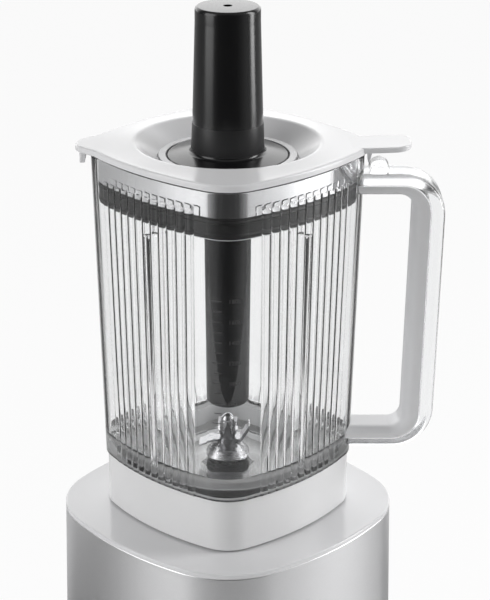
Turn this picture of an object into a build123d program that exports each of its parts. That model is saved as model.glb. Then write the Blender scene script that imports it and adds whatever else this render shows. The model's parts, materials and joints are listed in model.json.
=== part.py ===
from build123d import *
import os
from math import asin, atan2, cos, degrees, radians, sin, sqrt, tan

os.makedirs("parts", exist_ok=True)

# Countertop jug blender: motor base, clear reeded jug with handle, lid, and tamper through the lid.
# Millimetres, +Z up. The origin is on the drive axis, at the surface the feet stand on.
# The jug's corners lie on the X and Y axes: the handle is on +X and the controls face -Y.

# Fits
slip = 0.2              # gap between fixed pieces that slot together
lift_gap = 0.3          # gap between pieces that lift apart
running = 0.05          # radial gap of a turning shaft
thread_gap = 0.05       # radial gap round a screw

# Base outline: rounded square given by half diagonal, corner radius and side bulge
base_height = 200.0     # surface to the flat top of the deck
deck_corner = 101.0
deck_corner_radius = 51.7
deck_bulge = 4.0
base_flare = 1.1        # degrees that the walls lean out towards the foot
shell_wall = 2.0

# Bottom pan and feet
foot_height = 4.0
foot_radius = 11.0
foot_circle_radius = 78.0
foot_recess = 1.5
pan_rise = 12.0
pan_floor = 3.0
pan_lip = 8.0
pan_wall = 2.5
vent_count = 20
vent_length = 22.0
vent_width = 3.5
vent_circle_radius = 33.0

# Deck, jug seat and drive well
deck_thickness = 3.0
deck_edge = 1.2
deck_skirt_depth = 9.0
deck_skirt_wall = 2.5
boss_height = 10.0
boss_gap = 1.0          # gap between the seat boss and the inside of the collar
boss_edge = 1.5
well_radius = 21.0
well_depth = 18.0
well_wall = 2.5
well_floor = 3.0
well_seal_radius = 10.5
pad_thickness = 2.0
pad_inner = 44.0
pad_outer = 55.0

# Jug collar
collar_corner = 73.8
collar_corner_radius = 22.4
collar_bulge = 4.65
collar_gap = 1.2
collar_height = 33.8    # deck to the top of the collar
collar_wall = 2.8
web_thickness = 3.0
web_hole = 28.0
web_post_height = 4.7
web_post_radius = 4.5
web_post_circle_radius = 46.0
collar_screw_radius = 1.6
collar_screw_head = 3.2
collar_screw_head_height = 1.8
collar_screw_bite = 4.5

# Clear jug
jug_foot_corner = 75.0
jug_foot_radius = 23.0
jug_rim_corner = 80.2
jug_rim_radius = 24.9
jug_bulge = 4.8
jug_wall = 3.0
reed_count = 12         # reeds on each of the four sides
reed_rise = 0.9
reed_margin = 19.0      # half width of the smooth strip at each corner
reed_length = 180.2
rim_band = 12.3
neck_corner = 66.0
neck_radius = 18.0
neck_bulge = 4.0
floor_thickness = 7.0
floor_corner = 46.0
floor_corner_radius = 17.0
knee_rise = 7.0
knee_corner = 62.5
knee_corner_radius = 17.5
bowl_rise = 21.0
baffle_width = 5.0
baffle_depth = 8.5
baffle_edge = 2.2
baffle_sink = 1.5       # how far a baffle goes into the jug's wall
baffle_drop = 36.3      # jug rim down to the top of a baffle

# Handle
handle_width = 26.0
handle_drop = 12.3      # jug rim down to the top of the handle
handle_height = 174.3
handle_reach_top = 128.4
handle_reach_bottom = 124.6
handle_corner_radius = 25.0
handle_edge = 5.0
bond_gap = 0.05         # glue line between handle and jug
shell_side = 8.7        # clear outer part of the upright
shell_arm = 6.3         # clear outer part of the two arms
grip_side = 10.3        # grey inner part of the upright
grip_arm = 6.5          # grey inner part of the two arms
grip_edge = 3.5
grip_corner_radius = 16.3
window_corner_radius = 8.0
latch_boss_radius = 6.0
latch_boss_width = 18.0
latch_boss_reach = 89.0
pin_radius = 1.5
pin_depth = 6.0
pin_spacing = 104.0

# Lid
lid_corner = 82.3
lid_corner_radius = 27.1
lid_bulge = 4.5
lid_thickness = 4.1
lid_edge = 1.4
lid_crown = 1.2
crown_radius = 66.0
dish_radius = 54.7
dish_floor_radius = 41.5
dish_depth = 9.4
dish_wall = 2.5
lid_opening = 38.0
plug_depth = 31.6
plug_corner = 74.4
plug_radius = 20.0
plug_wall = 2.4
band_thickness = 0.8
gasket_rise = 2.0       # bare end of the plug below the seal
gasket_height = 12.0
gasket_body = 0.6
gasket_lip = 1.5
gasket_lip_height = 2.2
gasket_lip_inset = 1.0
tab_width = 26.0
tab_reach = 107.0
tab_rise = 0.3          # tab's underside above the lid's
tab_drop = 0.4          # tab's top below the lid's top edge
tab_corner_radius = 9.0
hook_reach = 85.0
hook_thickness = 3.2
hook_width = 10.0
hook_depth = 7.4
lip_width = 38.0
lip_reach = 89.0
lip_thickness = 2.8
lip_depth = 8.5
lip_corner_radius = 8.0
ring_rim_radius = 40.9
ring_rim_height = 1.5
ring_seat_radius = 36.2
ring_seat_depth = 2.5
ring_bore = 30.0

# Tamper
flange_radius = 35.7
flange_thickness = 3.7
rod_length = 156.8
rod_top_radius = 14.3
rod_end_radius = 12.2
rod_end_round = 5.0
grip_base_radius = 21.2
grip_base_height = 18.0
grip_step = 0.5
grip_top_radius = 19.0
grip_length = 86.3
tamper_wall = 2.6
cap_thickness = 2.5
cap_round = 1.7
cap_spigot = 6.0
cap_hole_radius = 2.5

# Blade set and its bearing housing
gasket_thickness = 1.2
skirt_foot_radius = 11.7
skirt_radius = 13.6
skirt_edge_rise = 5.0   # foot of the skirt up to its widest edge
skirt_top_radius = 7.6
skirt_height = 10.3
stem_radius = 9.9
stem_drop = 8.0         # below the underside of the jug floor
housing_nut_radius = 17.0
housing_nut_thickness = 5.0
blade_shaft_radius = 4.0
blade_bearing_radius = 8.0
blade_bearing_height = 5.0
blade_bearing_pitch = 9.0
seal_radius = 5.8
seal_height = 4.0
seal_drop = 1.5
stud_radius = 3.0
blade_gap = 0.6
blade_thickness = 1.6
blade_hub_radius = 6.2
upper_blade_width = 10.0
upper_blade_bend = 7.7
upper_blade_tip = 13.8
upper_blade_lift = 10.0
upper_blade_fall_tip = 18.0
upper_blade_fall = 3.0
lower_blade_width = 11.0
lower_blade_bend = 10.0
lower_blade_tip = 25.0
lower_blade_lift = 4.0
washer_height = 5.4
washer_foot_radius = 4.2
washer_rim_radius = 5.8
nut_across = 7.6
nut_body = 5.0
nut_dome = 5.2
stud_end = 2.5          # stud left inside the dome

# Drive couplings
star_radius = 8.5
star_lobe_radius = 3.0
star_lobes = 6
star_height = 10.0
star_gap = 0.4
coupling_radius = 16.0
coupling_floor = 5.0
coupling_height = 14.5
coupling_foot_gap = 2.0
coupling_edge = 1.0

# Motor
mount_drop = 17.0       # deck underside to the top of the upper bracket
mount_circle_radius = 60.0
mount_radius = 8.0
mount_height = 4.0
mount_post_radius = 6.0
mount_screw_radius = 2.2
mount_screw_head = 5.0
mount_screw_head_height = 3.0
mount_screw_bite = 11.0
bracket_radius = 68.0
bracket_thickness = 6.0
bracket_leg = 12.0
bracket_leg_radius = 5.0
bracket_window = 11.0
bracket_window_circle_radius = 34.0
bearing_boss_wall = 4.0
upper_bearing_radius = 15.0
upper_bearing_height = 9.0
lower_bearing_radius = 13.0
lower_bearing_height = 8.0
bearing_race = 2.6
motor_shaft_radius = 5.0
stator_radius = 52.0
yoke_inner = 43.5
stator_length = 50.0
pole_width = 30.0
air_gap = 0.6
coil_inset = 4.0
coil_thickness = 7.0
coil_width = 6.0
armature_radius = 24.6
slot_count = 12
slot_width = 4.0
slot_depth = 6.0
end_turn_height = 7.0
end_turn_outer = 21.0
end_turn_inner = 8.0
commutator_radius = 13.0
commutator_length = 18.0
commutator_gap = 2.0
lower_leg = 36.0
lower_bracket_radius = 54.0
bolt_radius = 2.2
bolt_circle_radius = 48.0
bolt_head = 4.2
bolt_head_height = 3.0
brush_width = 8.0
brush_height = 6.0
brush_length = 22.0
brush_holder_wall = 2.0
brush_holder_length = 28.0
brush_holder_gap = 1.5
fan_gap = 8.0
fan_radius = 45.0
fan_height = 15.0
fan_plate = 2.0
fan_hub_radius = 10.0
fan_blades = 11
fan_blade_thickness = 2.0
shroud_inner = 49.0
shroud_wall = 2.5
shroud_over = 4.0

# Tie rods between pan and deck
tie_x = 69.0
tie_y = 40.0
tie_radius = 2.0
tie_boss_radius = 5.0
tie_boss_height = 14.0
tie_bite = 10.0
tie_head_radius = 4.0
tie_head_height = 2.2

# Electronics and cord gland
board_thickness = 1.6
power_board_width = 60.0
power_board_height = 92.0
power_board_y = 74.0
capacitor_radius = 6.5
capacitor_length = 13.0
relay_size = 16.0
relay_depth = 13.0
gland_height = 40.0     # gland axis above the surface
gland_radius = 8.0
gland_flange = 11.0
gland_flange_thickness = 3.0
gland_nose = 5.0
gland_inside = 14.0
gland_bore = 3.6
magnet_radius = 4.0
magnet_height = 4.0
sensor_circle_radius = 48.0
sensor_width = 14.0
sensor_depth = 8.0
sensor_height = 5.0

# Control panel, knob and buttons
panel_width = 62.0
panel_height = 110.0
panel_corner_radius = 14.0
panel_middle = 92.0     # middle of the panel above the surface
panel_wall = 2.5
panel_proud = 0.6
knob_rise = 14.0        # knob axis above the panel's middle
knob_radius = 22.0
knob_length = 16.0
knob_gap = 0.6
knob_edge = 2.0
knob_grooves = 30
knob_groove_radius = 0.9
bezel_radius = 25.0
bezel_proud = 2.4
bezel_depth = 8.0
knob_trim_radius = 17.0
knob_trim_thickness = 1.2
knob_mark_reach = 12.0
knob_mark_radius = 0.9
knob_mark_depth = 0.6
knob_shaft_radius = 3.0
knob_shaft_bite = 10.0
button_drop = 32.0      # button axes below the panel's middle
button_spread = 15.0
button_radius = 6.5
button_gap = 0.3
button_flange = 8.0
button_flange_thickness = 1.6
button_flange_gap = 9.0  # flange's front behind the panel's face
button_proud = 2.2
button_edge = 1.0
button_travel = 1.2
board_setback = 19.0    # control board behind the panel's face
board_margin = 6.0
board_over = 14.0       # board past the knob's and the buttons' axes
encoder_size = 14.0
encoder_depth = 7.0
encoder_bore_depth = 5.0
switch_size = 6.0
board_post_radius = 3.0

# Heights that follow from the sizes above
pan_top = foot_height + pan_rise
pan_floor_top = foot_height + pan_floor
deck_top = base_height
deck_under = deck_top - deck_thickness
boss_top = deck_top + boss_height
well_bottom = boss_top - well_depth
well_under = well_bottom - well_floor
pad_top = boss_top + pad_thickness
web_under = pad_top + lift_gap
web_top = web_under + web_thickness
collar_bottom = deck_top + collar_gap
collar_top = deck_top + collar_height
floor_under = web_top + web_post_height
floor_top = floor_under + floor_thickness
knee_top = floor_top + knee_rise
bowl_top = floor_top + bowl_rise
reed_top = collar_top + reed_length
rim_top = reed_top + rim_band
lid_under = rim_top + lift_gap
lid_top = lid_under + lid_thickness
dish_top = lid_top + lid_crown
dish_bottom = dish_top - dish_depth
ring_top = dish_bottom + ring_rim_height
ring_seat = ring_top - ring_seat_depth
plug_bottom = lid_under - plug_depth
flange_under = ring_seat + lift_gap
flange_top = flange_under + flange_thickness
rod_end = flange_under - rod_length
tamper_top = flange_top + grip_length
cap_under = tamper_top - cap_thickness
handle_top = rim_top - handle_drop
handle_bottom = handle_top - handle_height
skirt_bottom = floor_top + gasket_thickness
skirt_top = skirt_bottom + skirt_height
stem_bottom = floor_under - stem_drop
lower_blade_z = skirt_top + blade_gap
upper_blade_z = lower_blade_z + blade_thickness
washer_z = upper_blade_z + blade_thickness
nut_z = washer_z + washer_height
nut_top = nut_z + nut_body + nut_dome
coupling_z = well_bottom + coupling_foot_gap
star_bottom = coupling_z + coupling_floor + lift_gap + collar_gap
bracket_top = deck_under - mount_drop
bracket_under = bracket_top - bracket_thickness
stator_top = bracket_under - bracket_leg
stator_bottom = stator_top - stator_length
lower_bracket_top = stator_bottom - lower_leg
lower_bracket_under = lower_bracket_top - bracket_thickness
commutator_top = stator_bottom - end_turn_height - commutator_gap
fan_top = lower_bracket_under - fan_gap
fan_bottom = fan_top - fan_height
knob_z = panel_middle + knob_rise
button_z = panel_middle - button_drop
collar_inside = collar_corner - collar_wall
boss_corner = collar_inside - boss_gap
quarter_turns = (0, 90, 180, 270)


# Plan outlines

def side_arc(corner, radius, bulge):
    reach = corner - radius
    back = (reach**2 - (reach / sqrt(2) + bulge) ** 2) / (2 * sqrt(2) * bulge)
    side_radius = reach / sqrt(2) + radius + bulge + back * sqrt(2)
    turn = degrees(atan2(back, reach + back))
    return reach, back, side_radius, turn


def half_width(outline):
    reach, back, side_radius, turn = side_arc(*outline)
    return side_radius - back * sqrt(2)


def at_angle(distance, angle):
    return (distance * cos(radians(angle)), distance * sin(radians(angle)))


def squircle(corner, radius, bulge):
    reach, back, side_radius, turn = side_arc(corner, radius, bulge)
    with BuildSketch() as outline:
        with BuildLine():
            for spin in quarter_turns:
                CenterArc(at_angle(reach, spin), radius, spin - turn, 2 * turn)
                CenterArc(at_angle(-back * sqrt(2), spin + 45), side_radius, spin + turn, 90 - 2 * turn)
        make_face()
    return outline.sketch


def reeded_squircle(corner, radius, bulge):
    reach, back, side_radius, turn = side_arc(corner, radius, bulge)
    first = degrees(asin((reed_margin + back) / side_radius))
    pitch = (90 - 2 * first) / reed_count
    with BuildSketch() as outline:
        with BuildLine():
            for spin in quarter_turns:
                middle = at_angle(-back * sqrt(2), spin + 45)

                def on_side(angle, rise):
                    x, y = at_angle(side_radius + rise, spin + angle)
                    return (middle[0] + x, middle[1] + y)

                CenterArc(at_angle(reach, spin), radius, spin - turn, 2 * turn)
                CenterArc(middle, side_radius, spin + turn, first - turn)
                for reed in range(reed_count):
                    start = first + reed * pitch
                    ThreePointArc(
                        on_side(start, 0),
                        on_side(start + pitch / 2, reed_rise),
                        on_side(start + pitch, 0),
                    )
                CenterArc(middle, side_radius, spin + 90 - first, first - turn)
        make_face()
    return outline.sketch


def base_outline(height, inset):
    grow = tan(radians(base_flare)) * (deck_top - height) - inset
    return squircle(deck_corner + grow, deck_corner_radius + grow, deck_bulge)


def base_corner(height):
    return deck_corner + tan(radians(base_flare)) * (deck_top - height)


def jug_outline(height, inset=0.0):
    share = (height - collar_top) / (rim_top - collar_top)
    corner = jug_foot_corner + (jug_rim_corner - jug_foot_corner) * share
    radius = jug_foot_radius + (jug_rim_radius - jug_foot_radius) * share
    return corner - inset, radius - inset, jug_bulge


def jug_inside(height):
    return jug_outline(height, jug_wall)


def handle_outline(side_inset, arm_inset, corner_radius):
    low = handle_bottom + arm_inset
    high = handle_top - arm_inset
    lean = (handle_reach_top - handle_reach_bottom) / handle_height
    low_reach = handle_reach_bottom + lean * arm_inset - side_inset
    high_reach = handle_reach_top - lean * arm_inset - side_inset
    with BuildSketch() as outline:
        with BuildLine():
            FilletPolyline((0, low), (low_reach, low), (high_reach, high), (0, high), radius=corner_radius)
            Line((0, high), (0, low))
        make_face()
    return outline.sketch


def finish(piece, name):
    piece.part.label = name
    export_step(piece.part, f"parts/{name}.step")


# Bottom pan: floor with vents, low wall, and a lip that the shell slips over
tie_points = [(tie_x, tie_y), (-tie_x, tie_y), (-tie_x, -tie_y), (tie_x, -tie_y)]

with BuildPart() as base_pan:
    with BuildSketch(Plane.XY.offset(foot_height)):
        add(base_outline(foot_height, 0))
    extrude(amount=pan_rise, taper=base_flare)
    with BuildSketch(Plane.XY.offset(pan_top)):
        add(base_outline(pan_top, shell_wall + slip))
    extrude(amount=pan_lip, taper=base_flare)
    with BuildSketch(Plane.XY.offset(pan_floor_top)):
        add(base_outline(pan_floor_top, shell_wall + slip + pan_wall))
    extrude(amount=pan_rise + pan_lip, taper=base_flare, mode=Mode.SUBTRACT)
    with BuildSketch(Plane.XY.offset(foot_height)):
        with PolarLocations(foot_circle_radius, 4):
            Circle(foot_radius + slip)
    extrude(amount=foot_recess, mode=Mode.SUBTRACT)
    with BuildSketch(Plane.XY.offset(foot_height)):
        with PolarLocations(vent_circle_radius, vent_count):
            SlotOverall(vent_length, vent_width)
        with Locations(*tie_points):
            Circle(tie_radius + thread_gap)
    extrude(amount=pan_floor, mode=Mode.SUBTRACT)
finish(base_pan, "base_pan")

# Feet
with BuildPart() as foot_pads:
    with BuildSketch():
        with PolarLocations(foot_circle_radius, 4):
            Circle(foot_radius)
    extrude(amount=foot_height + foot_recess)
    chamfer(foot_pads.edges().group_by(Axis.Z)[0], foot_recess)
finish(foot_pads, "foot_pads")

# Aluminium shell with the panel window in front and the gland hole behind
with BuildPart() as base_shell:
    with BuildSketch(Plane.XY.offset(pan_top)):
        add(base_outline(pan_top, 0))
    extrude(amount=deck_under - pan_top, taper=base_flare)
    with BuildSketch(Plane.XY.offset(pan_top)):
        add(base_outline(pan_top, shell_wall))
    extrude(amount=deck_under - pan_top, taper=base_flare, mode=Mode.SUBTRACT)
    with BuildSketch(Plane.XZ):
        with Locations((0, panel_middle)):
            RectangleRounded(panel_width + 2 * slip, panel_height + 2 * slip, panel_corner_radius + slip)
    extrude(amount=2 * deck_corner, mode=Mode.SUBTRACT)
    with BuildSketch(Plane.XZ):
        with Locations((0, gland_height)):
            Circle(gland_radius + slip)
    extrude(amount=-2 * deck_corner, mode=Mode.SUBTRACT)
finish(base_shell, "base_shell")

# Deck: top plate with the raised jug seat, the drive well, and posts for the motor and the tie rods
with BuildPart() as deck:
    with BuildSketch(Plane.XY.offset(deck_under)):
        add(base_outline(deck_under, 0))
    extrude(amount=deck_thickness, taper=base_flare)
    fillet(deck.edges().group_by(Axis.Z)[-1], deck_edge)
    with BuildSketch(Plane.XY.offset(deck_under - deck_skirt_depth)):
        add(base_outline(deck_under, shell_wall + slip))
        add(base_outline(deck_under, shell_wall + slip + deck_skirt_wall), mode=Mode.SUBTRACT)
    extrude(amount=deck_skirt_depth)
    with BuildSketch(Plane.XY.offset(deck_under)):
        add(squircle(boss_corner, collar_corner_radius - collar_wall - boss_gap, collar_bulge))
    extrude(amount=boss_height + deck_thickness)
    fillet(deck.edges().group_by(Axis.Z)[-1], boss_edge)
    with BuildSketch(Plane.XY.offset(well_under)):
        Circle(well_radius + well_wall)
    extrude(amount=deck_under - well_under)
    with BuildSketch(Plane.XY.offset(deck_under - mount_drop + mount_height)):
        with PolarLocations(mount_circle_radius, 4, 45):
            Circle(mount_post_radius)
    extrude(amount=mount_drop - mount_height)
    with BuildSketch(Plane.XY.offset(deck_under - tie_boss_height)):
        with Locations(*tie_points):
            Circle(tie_boss_radius)
    extrude(amount=tie_boss_height)
    with BuildSketch(Plane.XY.offset(well_bottom)):
        Circle(well_radius)
    extrude(amount=well_depth, mode=Mode.SUBTRACT)
    with BuildSketch(Plane.XY.offset(well_under)):
        Circle(well_seal_radius)
    extrude(amount=well_floor, mode=Mode.SUBTRACT)
    with BuildSketch(Plane.XY.offset(deck_under - mount_drop + mount_height)):
        with PolarLocations(mount_circle_radius, 4, 45):
            Circle(mount_screw_radius + thread_gap)
    extrude(amount=mount_screw_bite, mode=Mode.SUBTRACT)
    with BuildSketch(Plane.XY.offset(deck_under - tie_boss_height)):
        with Locations(*tie_points):
            Circle(tie_radius + thread_gap)
    extrude(amount=tie_bite, mode=Mode.SUBTRACT)
finish(deck, "deck")

# Rubber pad that the jug stands on, and the seal round the motor shaft in the well
with BuildPart() as seat_pad:
    with BuildSketch(Plane.XY.offset(boss_top)):
        Circle(pad_outer)
        Circle(pad_inner, mode=Mode.SUBTRACT)
    extrude(amount=pad_thickness)
finish(seat_pad, "seat_pad")

with BuildPart() as well_seal:
    with BuildSketch(Plane.XY.offset(well_under)):
        Circle(well_seal_radius)
        Circle(motor_shaft_radius + running, mode=Mode.SUBTRACT)
    extrude(amount=well_floor)
finish(well_seal, "well_seal")

# Tie rods that hold pan, shell and deck together
with BuildPart() as tie_rods:
    with BuildSketch(Plane.XY.offset(foot_height)):
        with Locations(*tie_points):
            Circle(tie_head_radius)
    extrude(amount=-tie_head_height)
    with BuildSketch(Plane.XY.offset(foot_height)):
        with Locations(*tie_points):
            Circle(tie_radius)
    extrude(amount=deck_under - tie_boss_height + tie_bite - foot_height)
finish(tie_rods, "tie_rods")

# Motor suspension: rubber mounts and their screws
with BuildPart() as motor_mounts:
    with BuildSketch(Plane.XY.offset(bracket_top)):
        with PolarLocations(mount_circle_radius, 4, 45):
            Circle(mount_radius)
            Circle(mount_screw_radius + slip, mode=Mode.SUBTRACT)
    extrude(amount=mount_height)
finish(motor_mounts, "motor_mounts")

with BuildPart() as mount_screws:
    with BuildSketch(Plane.XY.offset(bracket_under)):
        with PolarLocations(mount_circle_radius, 4, 45):
            Circle(mount_screw_head)
    extrude(amount=-mount_screw_head_height)
    with BuildSketch(Plane.XY.offset(bracket_under)):
        with PolarLocations(mount_circle_radius, 4, 45):
            Circle(mount_screw_radius)
    extrude(amount=bracket_thickness + mount_height + mount_screw_bite)
finish(mount_screws, "mount_screws")

# Upper bracket: plate with air windows, bearing boss and legs on the stator
with BuildPart() as upper_bracket:
    with BuildSketch(Plane.XY.offset(bracket_under)):
        Circle(bracket_radius)
        with PolarLocations(bracket_window_circle_radius, 4, 45):
            Circle(bracket_window, mode=Mode.SUBTRACT)
    extrude(amount=bracket_thickness)
    with BuildSketch(Plane.XY.offset(bracket_top - upper_bearing_height)):
        Circle(upper_bearing_radius + bearing_boss_wall)
    extrude(amount=upper_bearing_height + bearing_race)
    with BuildSketch(Plane.XY.offset(stator_top)):
        with PolarLocations(bolt_circle_radius, 4):
            Circle(bracket_leg_radius)
    extrude(amount=bracket_leg)
    with BuildSketch(Plane.XY.offset(bracket_top + bearing_race - upper_bearing_height)):
        Circle(upper_bearing_radius)
    extrude(amount=upper_bearing_height, mode=Mode.SUBTRACT)
    with BuildSketch(Plane.XY.offset(stator_top)):
        Circle(motor_shaft_radius + bearing_race)
        with PolarLocations(bolt_circle_radius, 4):
            Circle(bolt_radius + thread_gap)
        with PolarLocations(mount_circle_radius, 4, 45):
            Circle(mount_screw_radius + slip)
    extrude(amount=bracket_leg + bracket_thickness + bearing_race, mode=Mode.SUBTRACT)
finish(upper_bracket, "upper_bracket")

# Lower bracket: plate, bearing boss and long legs that leave room for the brushes
with BuildPart() as lower_bracket:
    with BuildSketch(Plane.XY.offset(lower_bracket_under)):
        Circle(lower_bracket_radius)
        with PolarLocations(bracket_window_circle_radius, 4, 45):
            Circle(bracket_window, mode=Mode.SUBTRACT)
    extrude(amount=bracket_thickness)
    with BuildSketch(Plane.XY.offset(lower_bracket_under - bearing_race)):
        Circle(lower_bearing_radius + bearing_boss_wall)
    extrude(amount=lower_bearing_height + bearing_race)
    with BuildSketch(Plane.XY.offset(lower_bracket_top)):
        with PolarLocations(bolt_circle_radius, 4):
            Circle(bracket_leg_radius)
    extrude(amount=lower_leg)
    with BuildSketch(Plane.XY.offset(lower_bracket_under)):
        Circle(lower_bearing_radius)
    extrude(amount=lower_bearing_height, mode=Mode.SUBTRACT)
    with BuildSketch(Plane.XY.offset(lower_bracket_under - bearing_race)):
        Circle(motor_shaft_radius + bearing_race)
        with PolarLocations(bolt_circle_radius, 4):
            Circle(bolt_radius + thread_gap)
    extrude(amount=lower_leg + bracket_thickness + bearing_race, mode=Mode.SUBTRACT)
finish(lower_bracket, "lower_bracket")

with BuildPart() as motor_bolts:
    with BuildSketch(Plane.XY.offset(lower_bracket_under)):
        with PolarLocations(bolt_circle_radius, 4):
            Circle(bolt_head)
    extrude(amount=-bolt_head_height)
    with BuildSketch(Plane.XY.offset(lower_bracket_under)):
        with PolarLocations(bolt_circle_radius, 4):
            Circle(bolt_radius)
    extrude(amount=bracket_top - lower_bracket_under)
finish(motor_bolts, "motor_bolts")


# Motor bearings

def bearing_ring(outer, bore, bottom, height):
    with BuildPart() as ring:
        with BuildSketch(Plane.XY.offset(bottom)):
            Circle(outer)
            Circle(bore, mode=Mode.SUBTRACT)
        extrude(amount=height)
    return ring


upper_bearing = bearing_ring(
    upper_bearing_radius,
    motor_shaft_radius + running,
    bracket_top + bearing_race - upper_bearing_height,
    upper_bearing_height,
)
finish(upper_bearing, "upper_bearing")
lower_bearing = bearing_ring(
    lower_bearing_radius, motor_shaft_radius + running, lower_bracket_under, lower_bearing_height
)
finish(lower_bearing, "lower_bearing")

# Stator: yoke with two poles, and a coil round each pole
pole_face = armature_radius + air_gap
coil_start = pole_face + coil_inset

with BuildPart() as stator_core:
    with BuildSketch(Plane.XY.offset(stator_bottom)):
        Circle(stator_radius)
        Circle(yoke_inner, mode=Mode.SUBTRACT)
        Rectangle(2 * (yoke_inner + stator_radius) / 2, pole_width)
        Circle(pole_face, mode=Mode.SUBTRACT)
        with PolarLocations(bolt_circle_radius, 4):
            Circle(bolt_radius + thread_gap, mode=Mode.SUBTRACT)
    extrude(amount=stator_length)
finish(stator_core, "stator_core")

with BuildPart() as field_coils:
    for side in (1, -1):
        with BuildSketch(Plane.YZ.offset(side * coil_start)):
            with Locations((0, stator_bottom + stator_length / 2)):
                RectangleRounded(
                    pole_width + 2 * slip + 2 * coil_width,
                    stator_length + 2 * slip + 2 * coil_width,
                    coil_width,
                )
                Rectangle(pole_width + 2 * slip, stator_length + 2 * slip, mode=Mode.SUBTRACT)
        extrude(amount=side * coil_thickness)
finish(field_coils, "field_coils")

# Brush gear beside the commutator
brush_z = commutator_top - commutator_length / 2
holder_start = commutator_radius + brush_holder_gap

with BuildPart() as brush_holders:
    for side in (1, -1):
        with BuildSketch(Plane.YZ.offset(side * holder_start)):
            with Locations((0, brush_z)):
                Rectangle(brush_width + 2 * brush_holder_wall, brush_height + 2 * brush_holder_wall)
        extrude(amount=side * brush_holder_length)
        with BuildSketch(Plane.XY.offset(lower_bracket_top)):
            with Locations((side * (holder_start + brush_holder_length / 2), 0)):
                Rectangle(brush_holder_length / 2, brush_width + 2 * brush_holder_wall)
        extrude(amount=brush_z - lower_bracket_top)
        with BuildSketch(Plane.YZ.offset(side * holder_start)):
            with Locations((0, brush_z)):
                Rectangle(brush_width + slip, brush_height + slip)
        extrude(amount=side * brush_holder_length, mode=Mode.SUBTRACT)
finish(brush_holders, "brush_holders")

with BuildPart() as carbon_brushes:
    for side in (1, -1):
        with BuildSketch(Plane.YZ.offset(side * commutator_radius)):
            with Locations((0, brush_z)):
                Rectangle(brush_width, brush_height)
        extrude(amount=side * brush_length)
    with BuildSketch(Plane.XY.offset(brush_z - brush_height)):
        Circle(commutator_radius + running)
    extrude(amount=2 * brush_height, mode=Mode.SUBTRACT)
finish(carbon_brushes, "carbon_brushes")

# Fan shroud standing on the pan
with BuildPart() as fan_shroud:
    with BuildSketch(Plane.XY.offset(pan_floor_top)):
        Circle(shroud_inner + shroud_wall)
        Circle(shroud_inner, mode=Mode.SUBTRACT)
    extrude(amount=fan_top + shroud_over - pan_floor_top)
finish(fan_shroud, "fan_shroud")

# Rotor: shaft, armature, commutator, fan and the drive cup in the well
shaft_top = coupling_z + coupling_floor

with BuildPart() as motor_shaft:
    with BuildSketch(Plane.XY.offset(fan_bottom)):
        Circle(motor_shaft_radius)
    extrude(amount=shaft_top - fan_bottom)
finish(motor_shaft, "motor_shaft")

with BuildPart() as armature_core:
    with BuildSketch(Plane.XY.offset(stator_bottom)):
        Circle(armature_radius)
        Circle(motor_shaft_radius, mode=Mode.SUBTRACT)
        with PolarLocations(armature_radius - slot_depth / 2, slot_count):
            Rectangle(2 * slot_depth, slot_width, mode=Mode.SUBTRACT)
    extrude(amount=stator_length)
finish(armature_core, "armature_core")

with BuildPart() as armature_winding:
    for bottom in (stator_bottom - end_turn_height, stator_top):
        with BuildSketch(Plane.XY.offset(bottom)):
            Circle(end_turn_outer)
            Circle(end_turn_inner, mode=Mode.SUBTRACT)
        extrude(amount=end_turn_height)
    with BuildSketch(Plane.XY.offset(stator_bottom)):
        with PolarLocations(armature_radius - slot_depth, slot_count):
            Rectangle(slot_depth / 2, slot_width - 2 * slip)
    extrude(amount=stator_length)
finish(armature_winding, "armature_winding")

with BuildPart() as commutator:
    with BuildSketch(Plane.XY.offset(commutator_top - commutator_length)):
        Circle(commutator_radius)
        Circle(motor_shaft_radius, mode=Mode.SUBTRACT)
    extrude(amount=commutator_length)
finish(commutator, "commutator")

with BuildPart() as cooling_fan:
    with BuildSketch(Plane.XY.offset(fan_top - fan_plate)):
        Circle(fan_radius)
    extrude(amount=fan_plate)
    with BuildSketch(Plane.XY.offset(fan_bottom)):
        Circle(fan_hub_radius)
        with PolarLocations((fan_radius + fan_hub_radius) / 2, fan_blades):
            Rectangle(fan_radius - fan_hub_radius + fan_blade_thickness, fan_blade_thickness, rotation=15)
    extrude(amount=fan_height)
    with BuildSketch(Plane.XY.offset(fan_bottom)):
        Circle(motor_shaft_radius)
    extrude(amount=fan_height, mode=Mode.SUBTRACT)
finish(cooling_fan, "cooling_fan")


def star_outline(gap):
    with BuildSketch() as outline:
        Circle(star_radius + gap)
        with PolarLocations(star_radius, star_lobes):
            Circle(star_lobe_radius + gap)
    return outline.sketch


with BuildPart() as drive_coupling:
    with BuildSketch(Plane.XY.offset(coupling_z)):
        Circle(coupling_radius)
    extrude(amount=coupling_height)
    chamfer(drive_coupling.edges().group_by(Axis.Z)[-1], coupling_edge)
    with BuildSketch(Plane.XY.offset(coupling_z + coupling_floor)):
        add(star_outline(star_gap))
    extrude(amount=coupling_height, mode=Mode.SUBTRACT)
    with BuildSketch(Plane.XY.offset(coupling_z)):
        Circle(motor_shaft_radius)
    extrude(amount=coupling_floor, mode=Mode.SUBTRACT)
finish(drive_coupling, "drive_coupling")

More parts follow.
